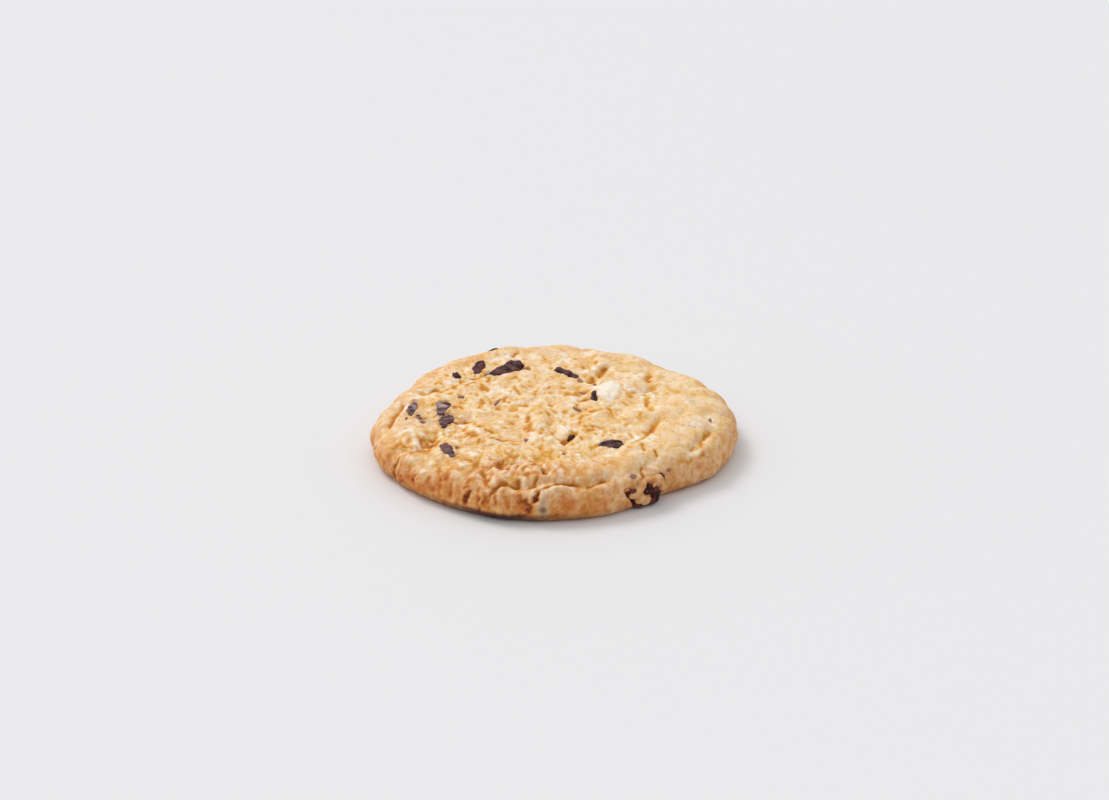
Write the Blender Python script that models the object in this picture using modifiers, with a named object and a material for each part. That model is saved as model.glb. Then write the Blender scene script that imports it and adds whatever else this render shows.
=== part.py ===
"""A baked chocolate chunk cookie: one round of dough with broken blocks of chocolate set in it.

The dough is a sphere primitive whose rows are moved onto the cookie's section and outline. Each
block of chocolate is a prism with chipped edges in a pocket of its own. The cookie lies on its flat
underside at Z = 0, with +Z up and -Y towards the side where the largest block shows at the rim.
"""

import math
from random import Random

import bmesh
import bpy
from mathutils import Matrix, Vector, noise

MM = 0.001

# Driving dimensions of the dough
MEAN_RADIUS = 49.2 * MM
EDGE_HEIGHT = 11.0 * MM  # where the shoulder meets the top
CROWN = 1.6 * MM  # how much higher the middle is
WIDEST_HEIGHT = 4.4 * MM  # where the side bulges furthest
SHOULDER_DEPTH = 8.5 * MM  # from the widest line in to the top
CURL_DEPTH = 3.2 * MM  # from the widest line in to the flat underside

# How finely the dough is divided
SEGMENTS = 120
TOP_ROWS = 16
SHOULDER_ROWS = 7
CURL_ROWS = 3

# The outline swells and dents: direction in degrees, height, and spread in degrees
SWELLS = (
    (200, 2.0 * MM, 30),  # left
    (254, 1.7 * MM, 22),  # front left
    (310, -4.1 * MM, 15),  # notch behind the rim block
    (355, 1.3 * MM, 30),  # right lobe
    (48, -1.5 * MM, 22),  # flat at the back right
    (115, 0.3 * MM, 20),  # back
    (157, -2.5 * MM, 18),  # flat at the back left
)

# Lumps of the top: middle, height, half length, half width and turn in degrees
LUMPS = (
    ((36, -4), 1.3, 17, 8.5, 80),  # right lobe
    ((14.8, 10.0), 1.2, 6.2, 3.8, 85),  # pale lump beside the middle block
    ((22, -30), 0.9, 15, 5.5, 38),  # smooth band along the front right
    ((-2, -38), 0.7, 14, 5, 0),  # front band
    ((-41, -13), 0.8, 8, 5, 110),  # left rim
    ((-14, 39), 0.9, 9, 4, 20),  # fold behind the large back block
    ((-3.9, -9.5), 0.6, 6.5, 3.0, 90),  # round lump of the middle
    ((-2, -1), -0.7, 24, 20, 0),  # the middle has sunk a little
    ((-24, -10), -0.5, 7, 12, 0),  # hollow beside the left blocks
)

# Folds and cracks: width, depth, and the points that they run through
GROOVES = (
    (1.4, 1.5, ((-10.4, -46.3), (-5.1, -45.6), (0.3, -44.7), (7.5, -45.3), (14.4, -42.1))),  # front
    (1.8, 1.3, ((-32.8, -17.0), (-34.3, -20.4), (-36.1, -24.1))),  # left front
    (1.3, 0.9, ((-37.5, -25.4), (-41.3, -23.8), (-44.0, -22.9))),  # left front, out to the rim
    (1.4, 0.9, ((42.6, -13.7), (41.2, -17.3), (37.4, -24.4))),  # in the right lobe
    (1.6, 1.1, ((28.3, -8.9), (26.8, -14.1))),  # inner side of the right lobe
    (1.4, 1.0, ((27.4, 25.2), (26.2, 18.9))),  # back right
    (1.4, 0.9, ((27.7, 13.6), (25.4, 11.5), (21.7, 9.7))),  # back right, across
    (1.4, 1.1, ((15.5, 28.3), (13.0, 22.2), (11.1, 16.9))),  # behind the pale lump
    (1.5, 1.0, ((-25.4, -7.2), (-23.4, -5.6))),  # beside the left blocks
    (1.4, 1.2, ((-17.4, -38.4), (-18.7, -40.3), (-19.3, -42.1))),  # front left
    (1.4, 1.0, ((-14.2, -38.4), (-13.4, -34.8), (-9.1, -35.5))),  # front left, across
    (1.4, 0.9, ((-4.0, -34.0), (-2.0, -40.5))),  # front
    (1.4, 0.9, ((-42.2, 4.3), (-44.4, -4.4), (-46.2, -10.0))),  # inside the left rim
)

# Folds of the whole top: size and height
FOLD_SIZE = 8.5 * MM
FOLD_HEIGHT = 1.5 * MM

# Blocks in the top, in mm and degrees: depth, how far it leans to the front, how proud it stands,
# and the corners of its outline, clockwise from the left
BLOCKS = {
    "chunk_back": (
        5.5, 9, 0.1,
        ((-19.9, 21.3), (-17.2, 24.8), (-15.4, 27.0), (-13.8, 29.0), (-11.8, 30.9), (-10.2, 30.4),
         (-8.4, 27.4), (-8.8, 25.8), (-11.5, 24.2), (-14.8, 22.3)),
    ),
    "chunk_back_small": (
        4.5, 7, 0.1,
        ((-23.1, 26.0), (-21.9, 29.6), (-20.0, 31.4), (-19.8, 27.6), (-21.1, 22.4), (-22.2, 22.8)),
    ),
    "chunk_left_rim": (
        4.5, -3, 0.1,
        ((-40.6, -2.2), (-40.2, 1.8), (-39.2, 4.3), (-38.5, 5.4), (-38.0, 2.8), (-38.2, -0.6),
         (-38.9, -3.0), (-39.7, -4.8)),
    ),
    "chunk_left_sliver": (
        4.0, 4, 0.1,
        ((-38.0, -4.2), (-37.3, -3.2), (-36.6, -5.6), (-35.6, -9.0), (-36.0, -10.4), (-36.9, -8.2)),
    ),
    "chunk_left": (
        5.0, -3, 0.2,
        ((-32.2, -2.2), (-32.3, 1.8), (-31.6, 3.6), (-30.0, 3.7), (-28.8, 2.6), (-28.9, 1.0),
         (-30.0, -0.6), (-30.1, -2.8), (-30.7, -4.4), (-31.9, -4.5)),
    ),
    "chunk_left_inner": (
        5.0, -3, 0.1,
        ((-31.6, -6.5), (-31.2, -5.8), (-30.1, -5.3), (-29.2, -3.8), (-28.2, -4.2), (-27.8, -6.4),
         (-28.1, -8.8), (-29.5, -9.6), (-29.9, -12.4), (-30.6, -12.8), (-31.0, -9.8)),
    ),
    "chunk_front_left": (
        4.5, 7, 0.1,
        ((-30.9, -25.0), (-29.3, -23.4), (-27.6, -26.0), (-26.5, -30.4), (-27.5, -31.6),
         (-30.2, -28.4)),
    ),
    "chunk_back_middle": (
        4.5, 8, 0.1,
        ((0.2, 24.4), (1.5, 26.0), (4.2, 24.2), (6.9, 21.2), (6.2, 19.8), (2.6, 22.2)),
    ),
    "chunk_middle": (
        4.5, 4, -0.1,
        ((10.3, 3.6), (10.5, 7.0), (11.2, 8.7), (12.1, 7.6), (12.3, 3.2), (11.6, 1.6)),
    ),
    "chunk_front_right": (
        4.5, 6, 0.1,
        ((11.9, -24.7), (13.9, -21.9), (18.5, -22.1), (19.1, -24.3), (16.9, -25.8), (14.1, -25.4)),
    ),
}

# The block that shows in the rim, in mm: its height and the corners of its outline
RIM_BLOCK = (
    6.8,
    ((16.2, -38.9), (18.6, -33.6), (25.2, -31.3), (29.4, -32.7), (29.8, -35.9), (27.5, -38.9),
     (23.6, -41.4), (18.0, -42.4)),
)
RIM_BLOCK_FLOOR = 0.6 * MM  # how far it is above what the cookie lies on

# Chips off the edges of a block: how many, the range of their slopes, and how far out they lie as a
# share of the way to the block's corner
TOP_CHIPS = (5, (0.5, 1.3), (0.91, 0.97))
RIM_CHIPS = (9, (-0.9, 1.0), (0.74, 0.88))

FOOT_SHARE = 0.8  # how wide a block is at its foot, of its width at the top
BLOCK_ROUNDING = 0.3 * MM
POCKET_GAP = 0.3 * MM
POCKET_OPENING = 4.0 * MM  # how far a pocket is open above its block


def clear_scene():
    """Removes every object of the scene that the script starts in."""
    for obj in list(bpy.data.objects):
        bpy.data.objects.remove(obj)


def material(name, colour, roughness):
    """A Principled material with one colour and no metal."""
    made = bpy.data.materials.new(name)
    made.use_nodes = True
    shader = made.node_tree.nodes["Principled BSDF"]
    shader.inputs["Base Color"].default_value = (*colour, 1.0)
    shader.inputs["Roughness"].default_value = roughness
    shader.inputs["Metallic"].default_value = 0.0
    return made


def collection(name, hidden=False):
    """A collection under the scene's own."""
    made = bpy.data.collections.new(name)
    made.hide_render = hidden
    bpy.context.scene.collection.children.link(made)
    return made


def add_object(name, mesh, group, finish=None):
    """An object for this mesh, in a collection."""
    obj = bpy.data.objects.new(name, mesh)
    group.objects.link(obj)
    if finish is not None:
        mesh.materials.append(finish)
    return obj


# ---------------------------------------------------------------- the dough's form


def outline_radius(angle):
    """How far the rim is from the middle in this direction, in radians."""
    radius = MEAN_RADIUS
    for direction, height, spread in SWELLS:
        away = (math.degrees(angle) - direction + 180) % 360 - 180
        radius += height * math.exp(-((away / spread) ** 2))
    return radius


def distance_to_line(place, points):
    """From a plan point to the nearest point of a line through points."""
    nearest = math.inf
    for start, end in zip(points, points[1:]):
        along = end - start
        share = (place - start).dot(along) / along.length_squared
        share = min(max(share, 0.0), 1.0)
        nearest = min(nearest, (place - start - along * share).length)
    return nearest


def lump_height(place, lump):
    """What one lump adds at a plan point."""
    middle, height, half_length, half_width, turn = lump
    away = place - Vector(middle) * MM
    away.rotate(Matrix.Rotation(-math.radians(turn), 2))
    spread = (away.x / (half_length * MM)) ** 2 + (away.y / (half_width * MM)) ** 2
    return height * MM * math.exp(-spread)


def groove_depth(place, groove):
    """What one groove takes away at a plan point."""
    width, depth, points = groove
    away = distance_to_line(place, [Vector(point) * MM for point in points])
    return depth * MM * math.exp(-((away / (width * MM)) ** 2))


def fold_height(place):
    """Soft puffs with creases between them, from the folds of a noise."""
    puff = noise.noise(Vector((place.x, place.y, 0.0)) / FOLD_SIZE)
    return FOLD_HEIGHT * (math.sqrt(abs(puff)) - 0.5)


def relief(x, y):
    """How far the surface stands out at a plan point, over the smooth section."""
    place = Vector((x, y))
    height = fold_height(place)
    height += sum(lump_height(place, lump) for lump in LUMPS)
    height -= sum(groove_depth(place, groove) for groove in GROOVES)
    return height


def section(angle, top, shoulder, curl):
    """A point of the smooth section and the way out of it, from three shares of its stretches.

    The stretches are the top out to the shoulder, the shoulder down to the widest line, and the
    curl from there to the underside.
    """
    rim = outline_radius(angle)
    plateau = rim - SHOULDER_DEPTH
    outward = Vector((math.cos(angle), math.sin(angle), 0.0))
    up = Vector((0.0, 0.0, 1.0))
    if curl > 0:
        turn = curl * math.pi / 2
        radius = rim - CURL_DEPTH * (1 - math.cos(turn))
        height = WIDEST_HEIGHT * (1 - math.sin(turn))
        normal = outward * math.cos(turn) - up * math.sin(turn)
    elif shoulder > 0:
        turn = shoulder * math.pi / 2
        radius = plateau + SHOULDER_DEPTH * math.sin(turn)
        height = WIDEST_HEIGHT + (EDGE_HEIGHT - WIDEST_HEIGHT) * math.cos(turn)
        normal = outward * math.sin(turn) + up * math.cos(turn)
    else:
        radius = plateau * top
        height = EDGE_HEIGHT + CROWN * (1 - top**2)
        normal = up
    return outward * radius + up * height, normal


def dough_point(angle, row):
    """Where a vertex of the dough's grid goes, for its direction and row from the top."""
    rows = (row, row - TOP_ROWS, row - TOP_ROWS - SHOULDER_ROWS)
    counts = (TOP_ROWS, SHOULDER_ROWS, CURL_ROWS)
    top, shoulder, curl = (min(max(at / count, 0.0), 1.0) for at, count in zip(rows, counts))
    point, normal = section(angle, top, shoulder, curl)
    if row > TOP_ROWS + SHOULDER_ROWS + CURL_ROWS:
        return Vector((0.0, 0.0, 0.0))
    return point + normal * relief(point.x, point.y) * (1 - curl)


def top_height(x, y):
    """The height of the dough's top at a plan point."""
    rim = outline_radius(math.atan2(y, x))
    inward = rim - math.hypot(x, y)
    if inward > SHOULDER_DEPTH:
        share = math.hypot(x, y) / (rim - SHOULDER_DEPTH)
        smooth = EDGE_HEIGHT + CROWN * (1 - share**2)
    else:
        share = 1 - max(inward, 0.0) / SHOULDER_DEPTH
        smooth = WIDEST_HEIGHT + (EDGE_HEIGHT - WIDEST_HEIGHT) * math.sqrt(1 - share**2)
    return smooth + relief(x, y)


def make_dough(group, finish, pockets):
    """The round of dough, with a pocket cut for each block."""
    rows = TOP_ROWS + SHOULDER_ROWS + CURL_ROWS + 1
    shape = bmesh.new()
    bmesh.ops.create_uvsphere(shape, u_segments=SEGMENTS, v_segments=rows, radius=1.0)
    for vertex in shape.verts:
        row = round(math.acos(max(-1.0, min(1.0, vertex.co.z))) / math.pi * rows)
        angle = math.atan2(vertex.co.y, vertex.co.x)
        vertex.co = dough_point(angle, row)
    underside = min(shape.verts, key=lambda vertex: vertex.co.xy.length + vertex.co.z)
    bmesh.ops.dissolve_verts(shape, verts=[underside])
    mesh = bpy.data.meshes.new("cookie_dough")
    shape.to_mesh(mesh)
    shape.free()
    mesh.shade_smooth()
    dough = add_object("cookie_dough", mesh, group, finish)
    cut = dough.modifiers.new("pockets", "BOOLEAN")
    cut.operation = "DIFFERENCE"
    cut.operand_type = "COLLECTION"
    cut.collection = pockets
    cut.solver = "EXACT"
    return dough


# ---------------------------------------------------------------- the blocks of chocolate


def chip_planes(name, chips):
    """The way that each chip of a block faces, and how far out it lies."""
    count, slopes, shares = chips
    chance = Random(name)
    planes = []
    for number in range(count):
        around = math.tau * (number + chance.uniform(-0.3, 0.3)) / count
        normal = Vector((math.cos(around), math.sin(around), chance.uniform(*slopes)))
        planes.append((normal.normalized(), chance.uniform(*shares)))
    return planes


def grown_outline(outline, grow):
    """A clockwise outline moved outward by grow, with its corners kept sharp."""
    moved = []
    for number, here in enumerate(outline):
        arrive = (here - outline[number - 1]).normalized()
        leave = (outline[(number + 1) % len(outline)] - here).normalized()
        first = Vector((-arrive.y, arrive.x))
        second = Vector((-leave.y, leave.x))
        moved.append(here + (first + second) * grow / (1 + first.dot(second)))
    return moved


def prism_rings(outline, depth, grow, opening):
    """The rings of corners of a block or its pocket, from its foot up."""
    foot = grown_outline([corner * FOOT_SHARE for corner in outline], grow)
    head = grown_outline(outline, grow)
    heights = [(-depth / 2 - grow, foot), (depth / 2 + grow, head)]
    if opening:
        heights.append((depth / 2 + grow + opening, head))
    return [[Vector((*corner, height)) for corner in ring] for height, ring in heights]


def block_mesh(name, outline, depth, planes, grow=0.0, opening=0.0):
    """A block with this outline and its edges chipped off, grown all round by grow.

    With an opening it is a pocket: it goes up by that much more, and no chip faces up.
    """
    shape = bmesh.new()
    rings = []
    for ring in prism_rings(outline, depth, grow, opening):
        rings.append([shape.verts.new(corner) for corner in ring])
    for lower, upper in zip(rings, rings[1:]):
        for number in range(len(lower)):
            shape.faces.new((lower[number - 1], lower[number], upper[number], upper[number - 1]))
    shape.faces.new(rings[0])
    shape.faces.new(rings[-1])
    corners = [corner for ring in prism_rings(outline, depth, 0.0, 0.0) for corner in ring]
    for normal, share in planes:
        if opening and normal.z > 0:
            continue
        reach = max(normal.dot(corner) for corner in corners)
        cut = bmesh.ops.bisect_plane(
            shape,
            geom=shape.verts[:] + shape.edges[:] + shape.faces[:],
            plane_co=normal * (reach * share + grow),
            plane_no=normal,
            clear_outer=True,
        )
        rim = [part for part in cut["geom_cut"] if isinstance(part, bmesh.types.BMEdge)]
        if rim:
            bmesh.ops.edgeloop_fill(shape, edges=rim)
    bmesh.ops.recalc_face_normals(shape, faces=shape.faces)
    mesh = bpy.data.meshes.new(name)
    shape.to_mesh(mesh)
    shape.free()
    return mesh


def centred(outline):
    """The middle of an outline given in mm, and the outline around it, both in metres."""
    corners = [Vector(corner) * MM for corner in outline]
    middle = sum(corners, Vector((0.0, 0.0))) / len(corners)
    return middle, [corner - middle for corner in corners]


def make_block(name, outline, depth, chips, location, lean, group, finish, pockets, opening=0.0):
    """One block of chocolate and the pocket that it sits in."""
    planes = chip_planes(name, chips)
    block = add_object(name, block_mesh(name, outline, depth, planes), group, finish)
    rounding = block.modifiers.new("rounding", "BEVEL")
    rounding.width = BLOCK_ROUNDING
    rounding.segments = 1
    mesh = block_mesh(name + "_pocket", outline, depth, planes, POCKET_GAP, opening)
    pocket = add_object(name + "_pocket", mesh, pockets)
    pocket.hide_render = True
    pocket.display_type = "WIRE"
    for obj in (block, pocket):
        obj.location = location
        obj.rotation_euler = (math.radians(lean), 0.0, 0.0)
    return block


def make_top_blocks(group, finish, pockets):
    """The blocks that show in the top."""
    for name, (depth, lean, proud, corners) in BLOCKS.items():
        (x, y), outline = centred(corners)
        depth *= MM
        place = (x, y, top_height(x, y) + proud * MM - depth / 2)
        make_block(
            name, outline, depth, TOP_CHIPS, place, lean, group, finish, pockets, POCKET_OPENING
        )


def make_rim_block(group, finish, pockets):
    """The large block that stands out of the rim, just clear of what the cookie lies on."""
    height, corners = RIM_BLOCK
    (x, y), outline = centred(corners)
    height *= MM
    place = (x, y, RIM_BLOCK_FLOOR + height / 2)
    make_block("chunk_rim", outline, height, RIM_CHIPS, place, 0.0, group, finish, pockets)


def main():
    """Builds the cookie."""
    clear_scene()
    cookie = collection("chocolate_chunk_cookie")
    pockets = collection("pockets", hidden=True)
    baked = material("baked_dough", (0.72, 0.46, 0.22), 0.75)
    chocolate = material("chocolate", (0.07, 0.03, 0.02), 0.4)
    make_top_blocks(cookie, chocolate, pockets)
    make_rim_block(cookie, chocolate, pockets)
    make_dough(cookie, baked, pockets)


main()
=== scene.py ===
"""Looks of a chocolate chunk cookie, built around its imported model.

The dough is one closed surface of fine rings. It follows the model's own outline and section, and adds
the folds, crumbs, cracks and pits of a soft-baked top. Each chunk of chocolate is worn out of its own
block of the model, and the smallest bits of chocolate are one joined mesh. All sizes are in metres,
except where a class says that its own are in mm.
"""

import logging
import math
from dataclasses import dataclass
from enum import Enum

import bmesh
import bpy
import numpy as np
from mathutils import Euler, Matrix, Vector, noise
from mathutils.bvhtree import BVHTree


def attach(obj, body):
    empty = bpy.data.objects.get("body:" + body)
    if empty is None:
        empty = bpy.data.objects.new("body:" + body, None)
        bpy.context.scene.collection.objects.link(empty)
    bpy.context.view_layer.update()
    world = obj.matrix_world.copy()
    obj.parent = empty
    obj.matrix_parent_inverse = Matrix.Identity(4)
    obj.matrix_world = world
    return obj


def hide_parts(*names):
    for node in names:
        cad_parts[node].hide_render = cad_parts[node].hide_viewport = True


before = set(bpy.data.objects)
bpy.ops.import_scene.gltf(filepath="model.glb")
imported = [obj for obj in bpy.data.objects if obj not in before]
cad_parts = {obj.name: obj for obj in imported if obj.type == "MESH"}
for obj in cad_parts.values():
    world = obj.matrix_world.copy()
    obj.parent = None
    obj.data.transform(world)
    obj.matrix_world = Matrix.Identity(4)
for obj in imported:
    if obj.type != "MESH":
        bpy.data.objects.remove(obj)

log = logging.getLogger("cookie")

MM = 0.001
BODY = "root"
SIDE_RADIUS = 50 * MM  # at which the side is unrolled

Array = np.ndarray
Colour = tuple[float, float, float]
Point2 = tuple[float, float]
Point3 = tuple[float, float, float]
Stops = tuple[tuple[float, Colour], ...]
Value = bpy.types.NodeSocket | float | tuple[float, ...]


class Slot(Enum):
    """The record's material slots."""

    DOUGH = "baked_dough"
    CHOCOLATE = "chocolate"


class Mask(Enum):
    """The values that a piece's mesh carries for its finish, one for each vertex, from 0 to 1."""

    # how golden and dark each point is: partly the piece's own tone, partly painted shade in its hollows
    # and dents
    RECESS_TONE_AND_SHADE = "recess_tone_and_shade"
    BROWNING = "browning"
    # a dark strip at the foot of the front-left side: partly a browner baked edge, mostly painted shade
    # where the side meets the floor
    BASE = "base"
    SMEAR = "smear"
    THIN = "thin_skin"
    FRECKLE = "freckle"
    # how dark the inside of a crack or pit is: partly browning, partly painted shade
    SPLIT = "split_and_shade"
    # grey on upward faces: partly blooming of the chocolate, partly a painted sheen of the sky
    BLOOM = "bloom_and_sheen"


def colour(red: int, green: int, blue: int) -> Colour:
    """Mixes a colour.

    Args:
        red: its red, from 0 to 255.
        green: its green.
        blue: its blue.

    Returns:
        The colour in the linear values that a shader takes.
    """

    def linear(value: float) -> float:
        """One channel of it."""
        share = value / 255
        return share / 12.92 if share <= 0.04045 else ((share + 0.055) / 1.055) ** 2.4

    return linear(red), linear(green), linear(blue)


def smoothstep(low: float, high: float, values: Array) -> Array:
    """An even rise from 0 at low to 1 at high."""
    share = np.clip((values - low) / (high - low), 0.0, 1.0)
    return share * share * (3 - 2 * share)


def bell(values: Array, middle: float, spread: float) -> Array:
    """A hump that is 1 at the middle value and falls off evenly on both sides."""
    return np.exp(-(((values - middle) / spread) ** 2))


# ---------------------------------------------------------------- noise over many points


def perlin(places: Array, size: float, shift: float = 0.0) -> Array:
    """Smooth noise at each place.

    Args:
        places: the points, one a row.
        size: how far apart its swells are.
        shift: moves the noise, so that two layers don't match.

    Returns:
        A value for each place, from about -0.8 to 0.8.
    """
    return np.array([noise.noise(cell) for cell in (places / size + shift).tolist()])


def puffs(places: Array, size: float, softness: float = 0.06) -> Array:
    """Rounded puffs of about this size with soft creases between them, from -0.3 to about 0.4."""
    return np.sqrt(np.hypot(perlin(places, size), softness)) - 0.5


def nearest_grains(places: Array, size: float, shift: float) -> tuple[Array, Array]:
    """Measures each place against scattered grains.

    Args:
        places: the points, one a row.
        size: how far apart the grains are.
        shift: moves the grains.

    Returns:
        How far each place is from the nearest grain, and from the second nearest.
    """
    cells = (places / size + shift).tolist()
    both = np.array([noise.voronoi(cell)[0][:2] for cell in cells])
    return both[:, 0], both[:, 1]


@dataclass(frozen=True)
class Layer:
    """A layer of noise: how far apart its swells are in mm, where it is taken from and its height."""

    size: float
    shift: float
    height: float = 1.0

    def at(self, places: Array) -> Array:
        """Its value at each place."""
        return self.height * perlin(places, self.size * MM, self.shift)


@dataclass(frozen=True)
class Stir:
    """Pushes that make what lies there wind about: their size and reach in mm, and where from."""

    size: float
    reach: float
    shift: float

    def at(self, places: Array) -> Array:
        """The places, each pushed by up to about the reach."""
        pushes = [perlin(places, self.size * MM, self.shift + apart) for apart in (0.0, 31.7, 63.4)]
        return places + self.reach * MM * np.column_stack(pushes)


# ---------------------------------------------------------------- lines and outlines in plan


def distance_to_line(places: Array, line: Array) -> Array:
    """Measures flat places against a line.

    Args:
        places: the places, one a row.
        line: the points that the line runs through, or a lone point.

    Returns:
        How far each place is from the line.
    """
    if len(line) == 1:
        return np.hypot(*(places - line[0]).T)
    nearest = np.full(len(places), np.inf)
    for start, end in zip(line, line[1:]):
        along = end - start
        share = np.clip((places - start) @ along / (along @ along), 0.0, 1.0)
        gap = places - start - share[:, None] * along
        nearest = np.minimum(nearest, np.hypot(gap[:, 0], gap[:, 1]))
    return nearest


def outline_around(points: Array) -> Array:
    """Draws the smallest outline without dents.

    Args:
        points: plan points, one a row.

    Returns:
        Its corners, anticlockwise.
    """
    ordered = sorted(set(map(tuple, points.round(6).tolist())))
    halves = []
    for places in (ordered, ordered[::-1]):
        half: list[Point2] = []
        for x, y in places:
            while len(half) > 1:
                (ax, ay), (bx, by) = half[-2:]
                if (bx - ax) * (y - ay) - (by - ay) * (x - ax) > 0:
                    break
                half.pop()
            half.append((x, y))
        halves += half[:-1]
    return np.array(halves)


def distance_outside(plan: Array, corners: Array) -> Array:
    """Measures plan points against an outline.

    Args:
        plan: the points, one a row.
        corners: the outline's corners, anticlockwise.

    Returns:
        How far each point is outside the outline, less than 0 inside it.
    """
    closed = np.vstack([corners, corners[:1]])
    sides = np.diff(closed, axis=0)
    outward = np.column_stack([sides[:, 1], -sides[:, 0]]) / np.hypot(sides[:, 0], sides[:, 1])[:, None]
    beyond = (plan @ outward.T - (corners * outward).sum(axis=1)).max(axis=1)
    return np.where(beyond > 0, distance_to_line(plan, closed), beyond)


# ---------------------------------------------------------------- the cookie's form


@dataclass(frozen=True)
class Swell:
    """A swelling or a dent around a direction: where it is and how wide, in degrees, and how high."""

    direction: float
    height: float
    spread: float

    def at(self, degrees: Array) -> Array:
        """What it adds in these directions."""
        return self.height * bell((degrees - self.direction + 180) % 360 - 180, 0.0, self.spread)


@dataclass(frozen=True)
class Lump:
    """A low rounded hill or hollow of the top, in mm and degrees."""

    middle: Point2
    height: float
    half_length: float
    half_width: float
    turn: float

    def share(self, plan: Array) -> Array:
        """Finds how much of it there is.

        Args:
            plan: plan points, one a row.

        Returns:
            A share for each point, from 0 to 1 at its middle.
        """
        turn = math.radians(self.turn)
        away = plan - np.array(self.middle) * MM
        along = away[:, 0] * math.cos(turn) + away[:, 1] * math.sin(turn)
        across = away[:, 1] * math.cos(turn) - away[:, 0] * math.sin(turn)
        spread = (along / (self.half_length * MM)) ** 2 + (across / (self.half_width * MM)) ** 2
        return np.exp(-spread)

    def at(self, plan: Array) -> Array:
        """What it adds to the height at these plan points."""
        return self.height * MM * self.share(plan)


@dataclass(frozen=True)
class Mound(Lump):
    """A broken-off lump with steep sides and a crevice around it, in mm and degrees."""

    def rise(self, plan: Array) -> Array:
        """What the lump adds to the height at these plan points."""
        return self.height * MM * smoothstep(0.28, 0.6, self.share(plan))

    def crevice(self, plan: Array) -> Array:
        """How much each plan point lies in the crevice around the lump, from 0 to 1."""
        return bell(self.share(plan), 0.3, 0.07)


@dataclass(frozen=True)
class Crack:
    """A crack or a fold that runs through plan points, in mm, and how dark it is inside: partly browning,
    partly painted shade.
    """

    width: float
    depth: float
    points: tuple[Point2, ...]
    tone: float = 0.3

    def share(self, plan: Array) -> Array:
        """How deep in the crack each plan point is, from 0 to 1."""
        return bell(distance_to_line(plan, np.array(self.points) * MM), 0.0, self.width * MM)

    def at(self, plan: Array) -> Array:
        """What the crack adds to the height at these plan points."""
        return -self.depth * MM * self.share(plan)


@dataclass(frozen=True)
class Fissure:
    """A small crack or pit of the side, and how dark it is inside: partly browning, partly painted shade.

    Its width and depth are in mm, and it runs through places in degrees around and mm of height.
    """

    width: float
    depth: float
    tone: float
    places: tuple[Point2, ...]

    def share(self, unrolled: Array) -> Array:
        """How deep in it each place of the unrolled side is, from 0 to 1."""
        line = [(math.radians(degrees) * SIDE_RADIUS, height * MM) for degrees, height in self.places]
        return bell(distance_to_line(unrolled, np.array(line)), 0.0, self.width * MM)

    def at(self, unrolled: Array) -> Array:
        """What it adds to the lift at these places."""
        return -self.depth * MM * self.share(unrolled)


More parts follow.
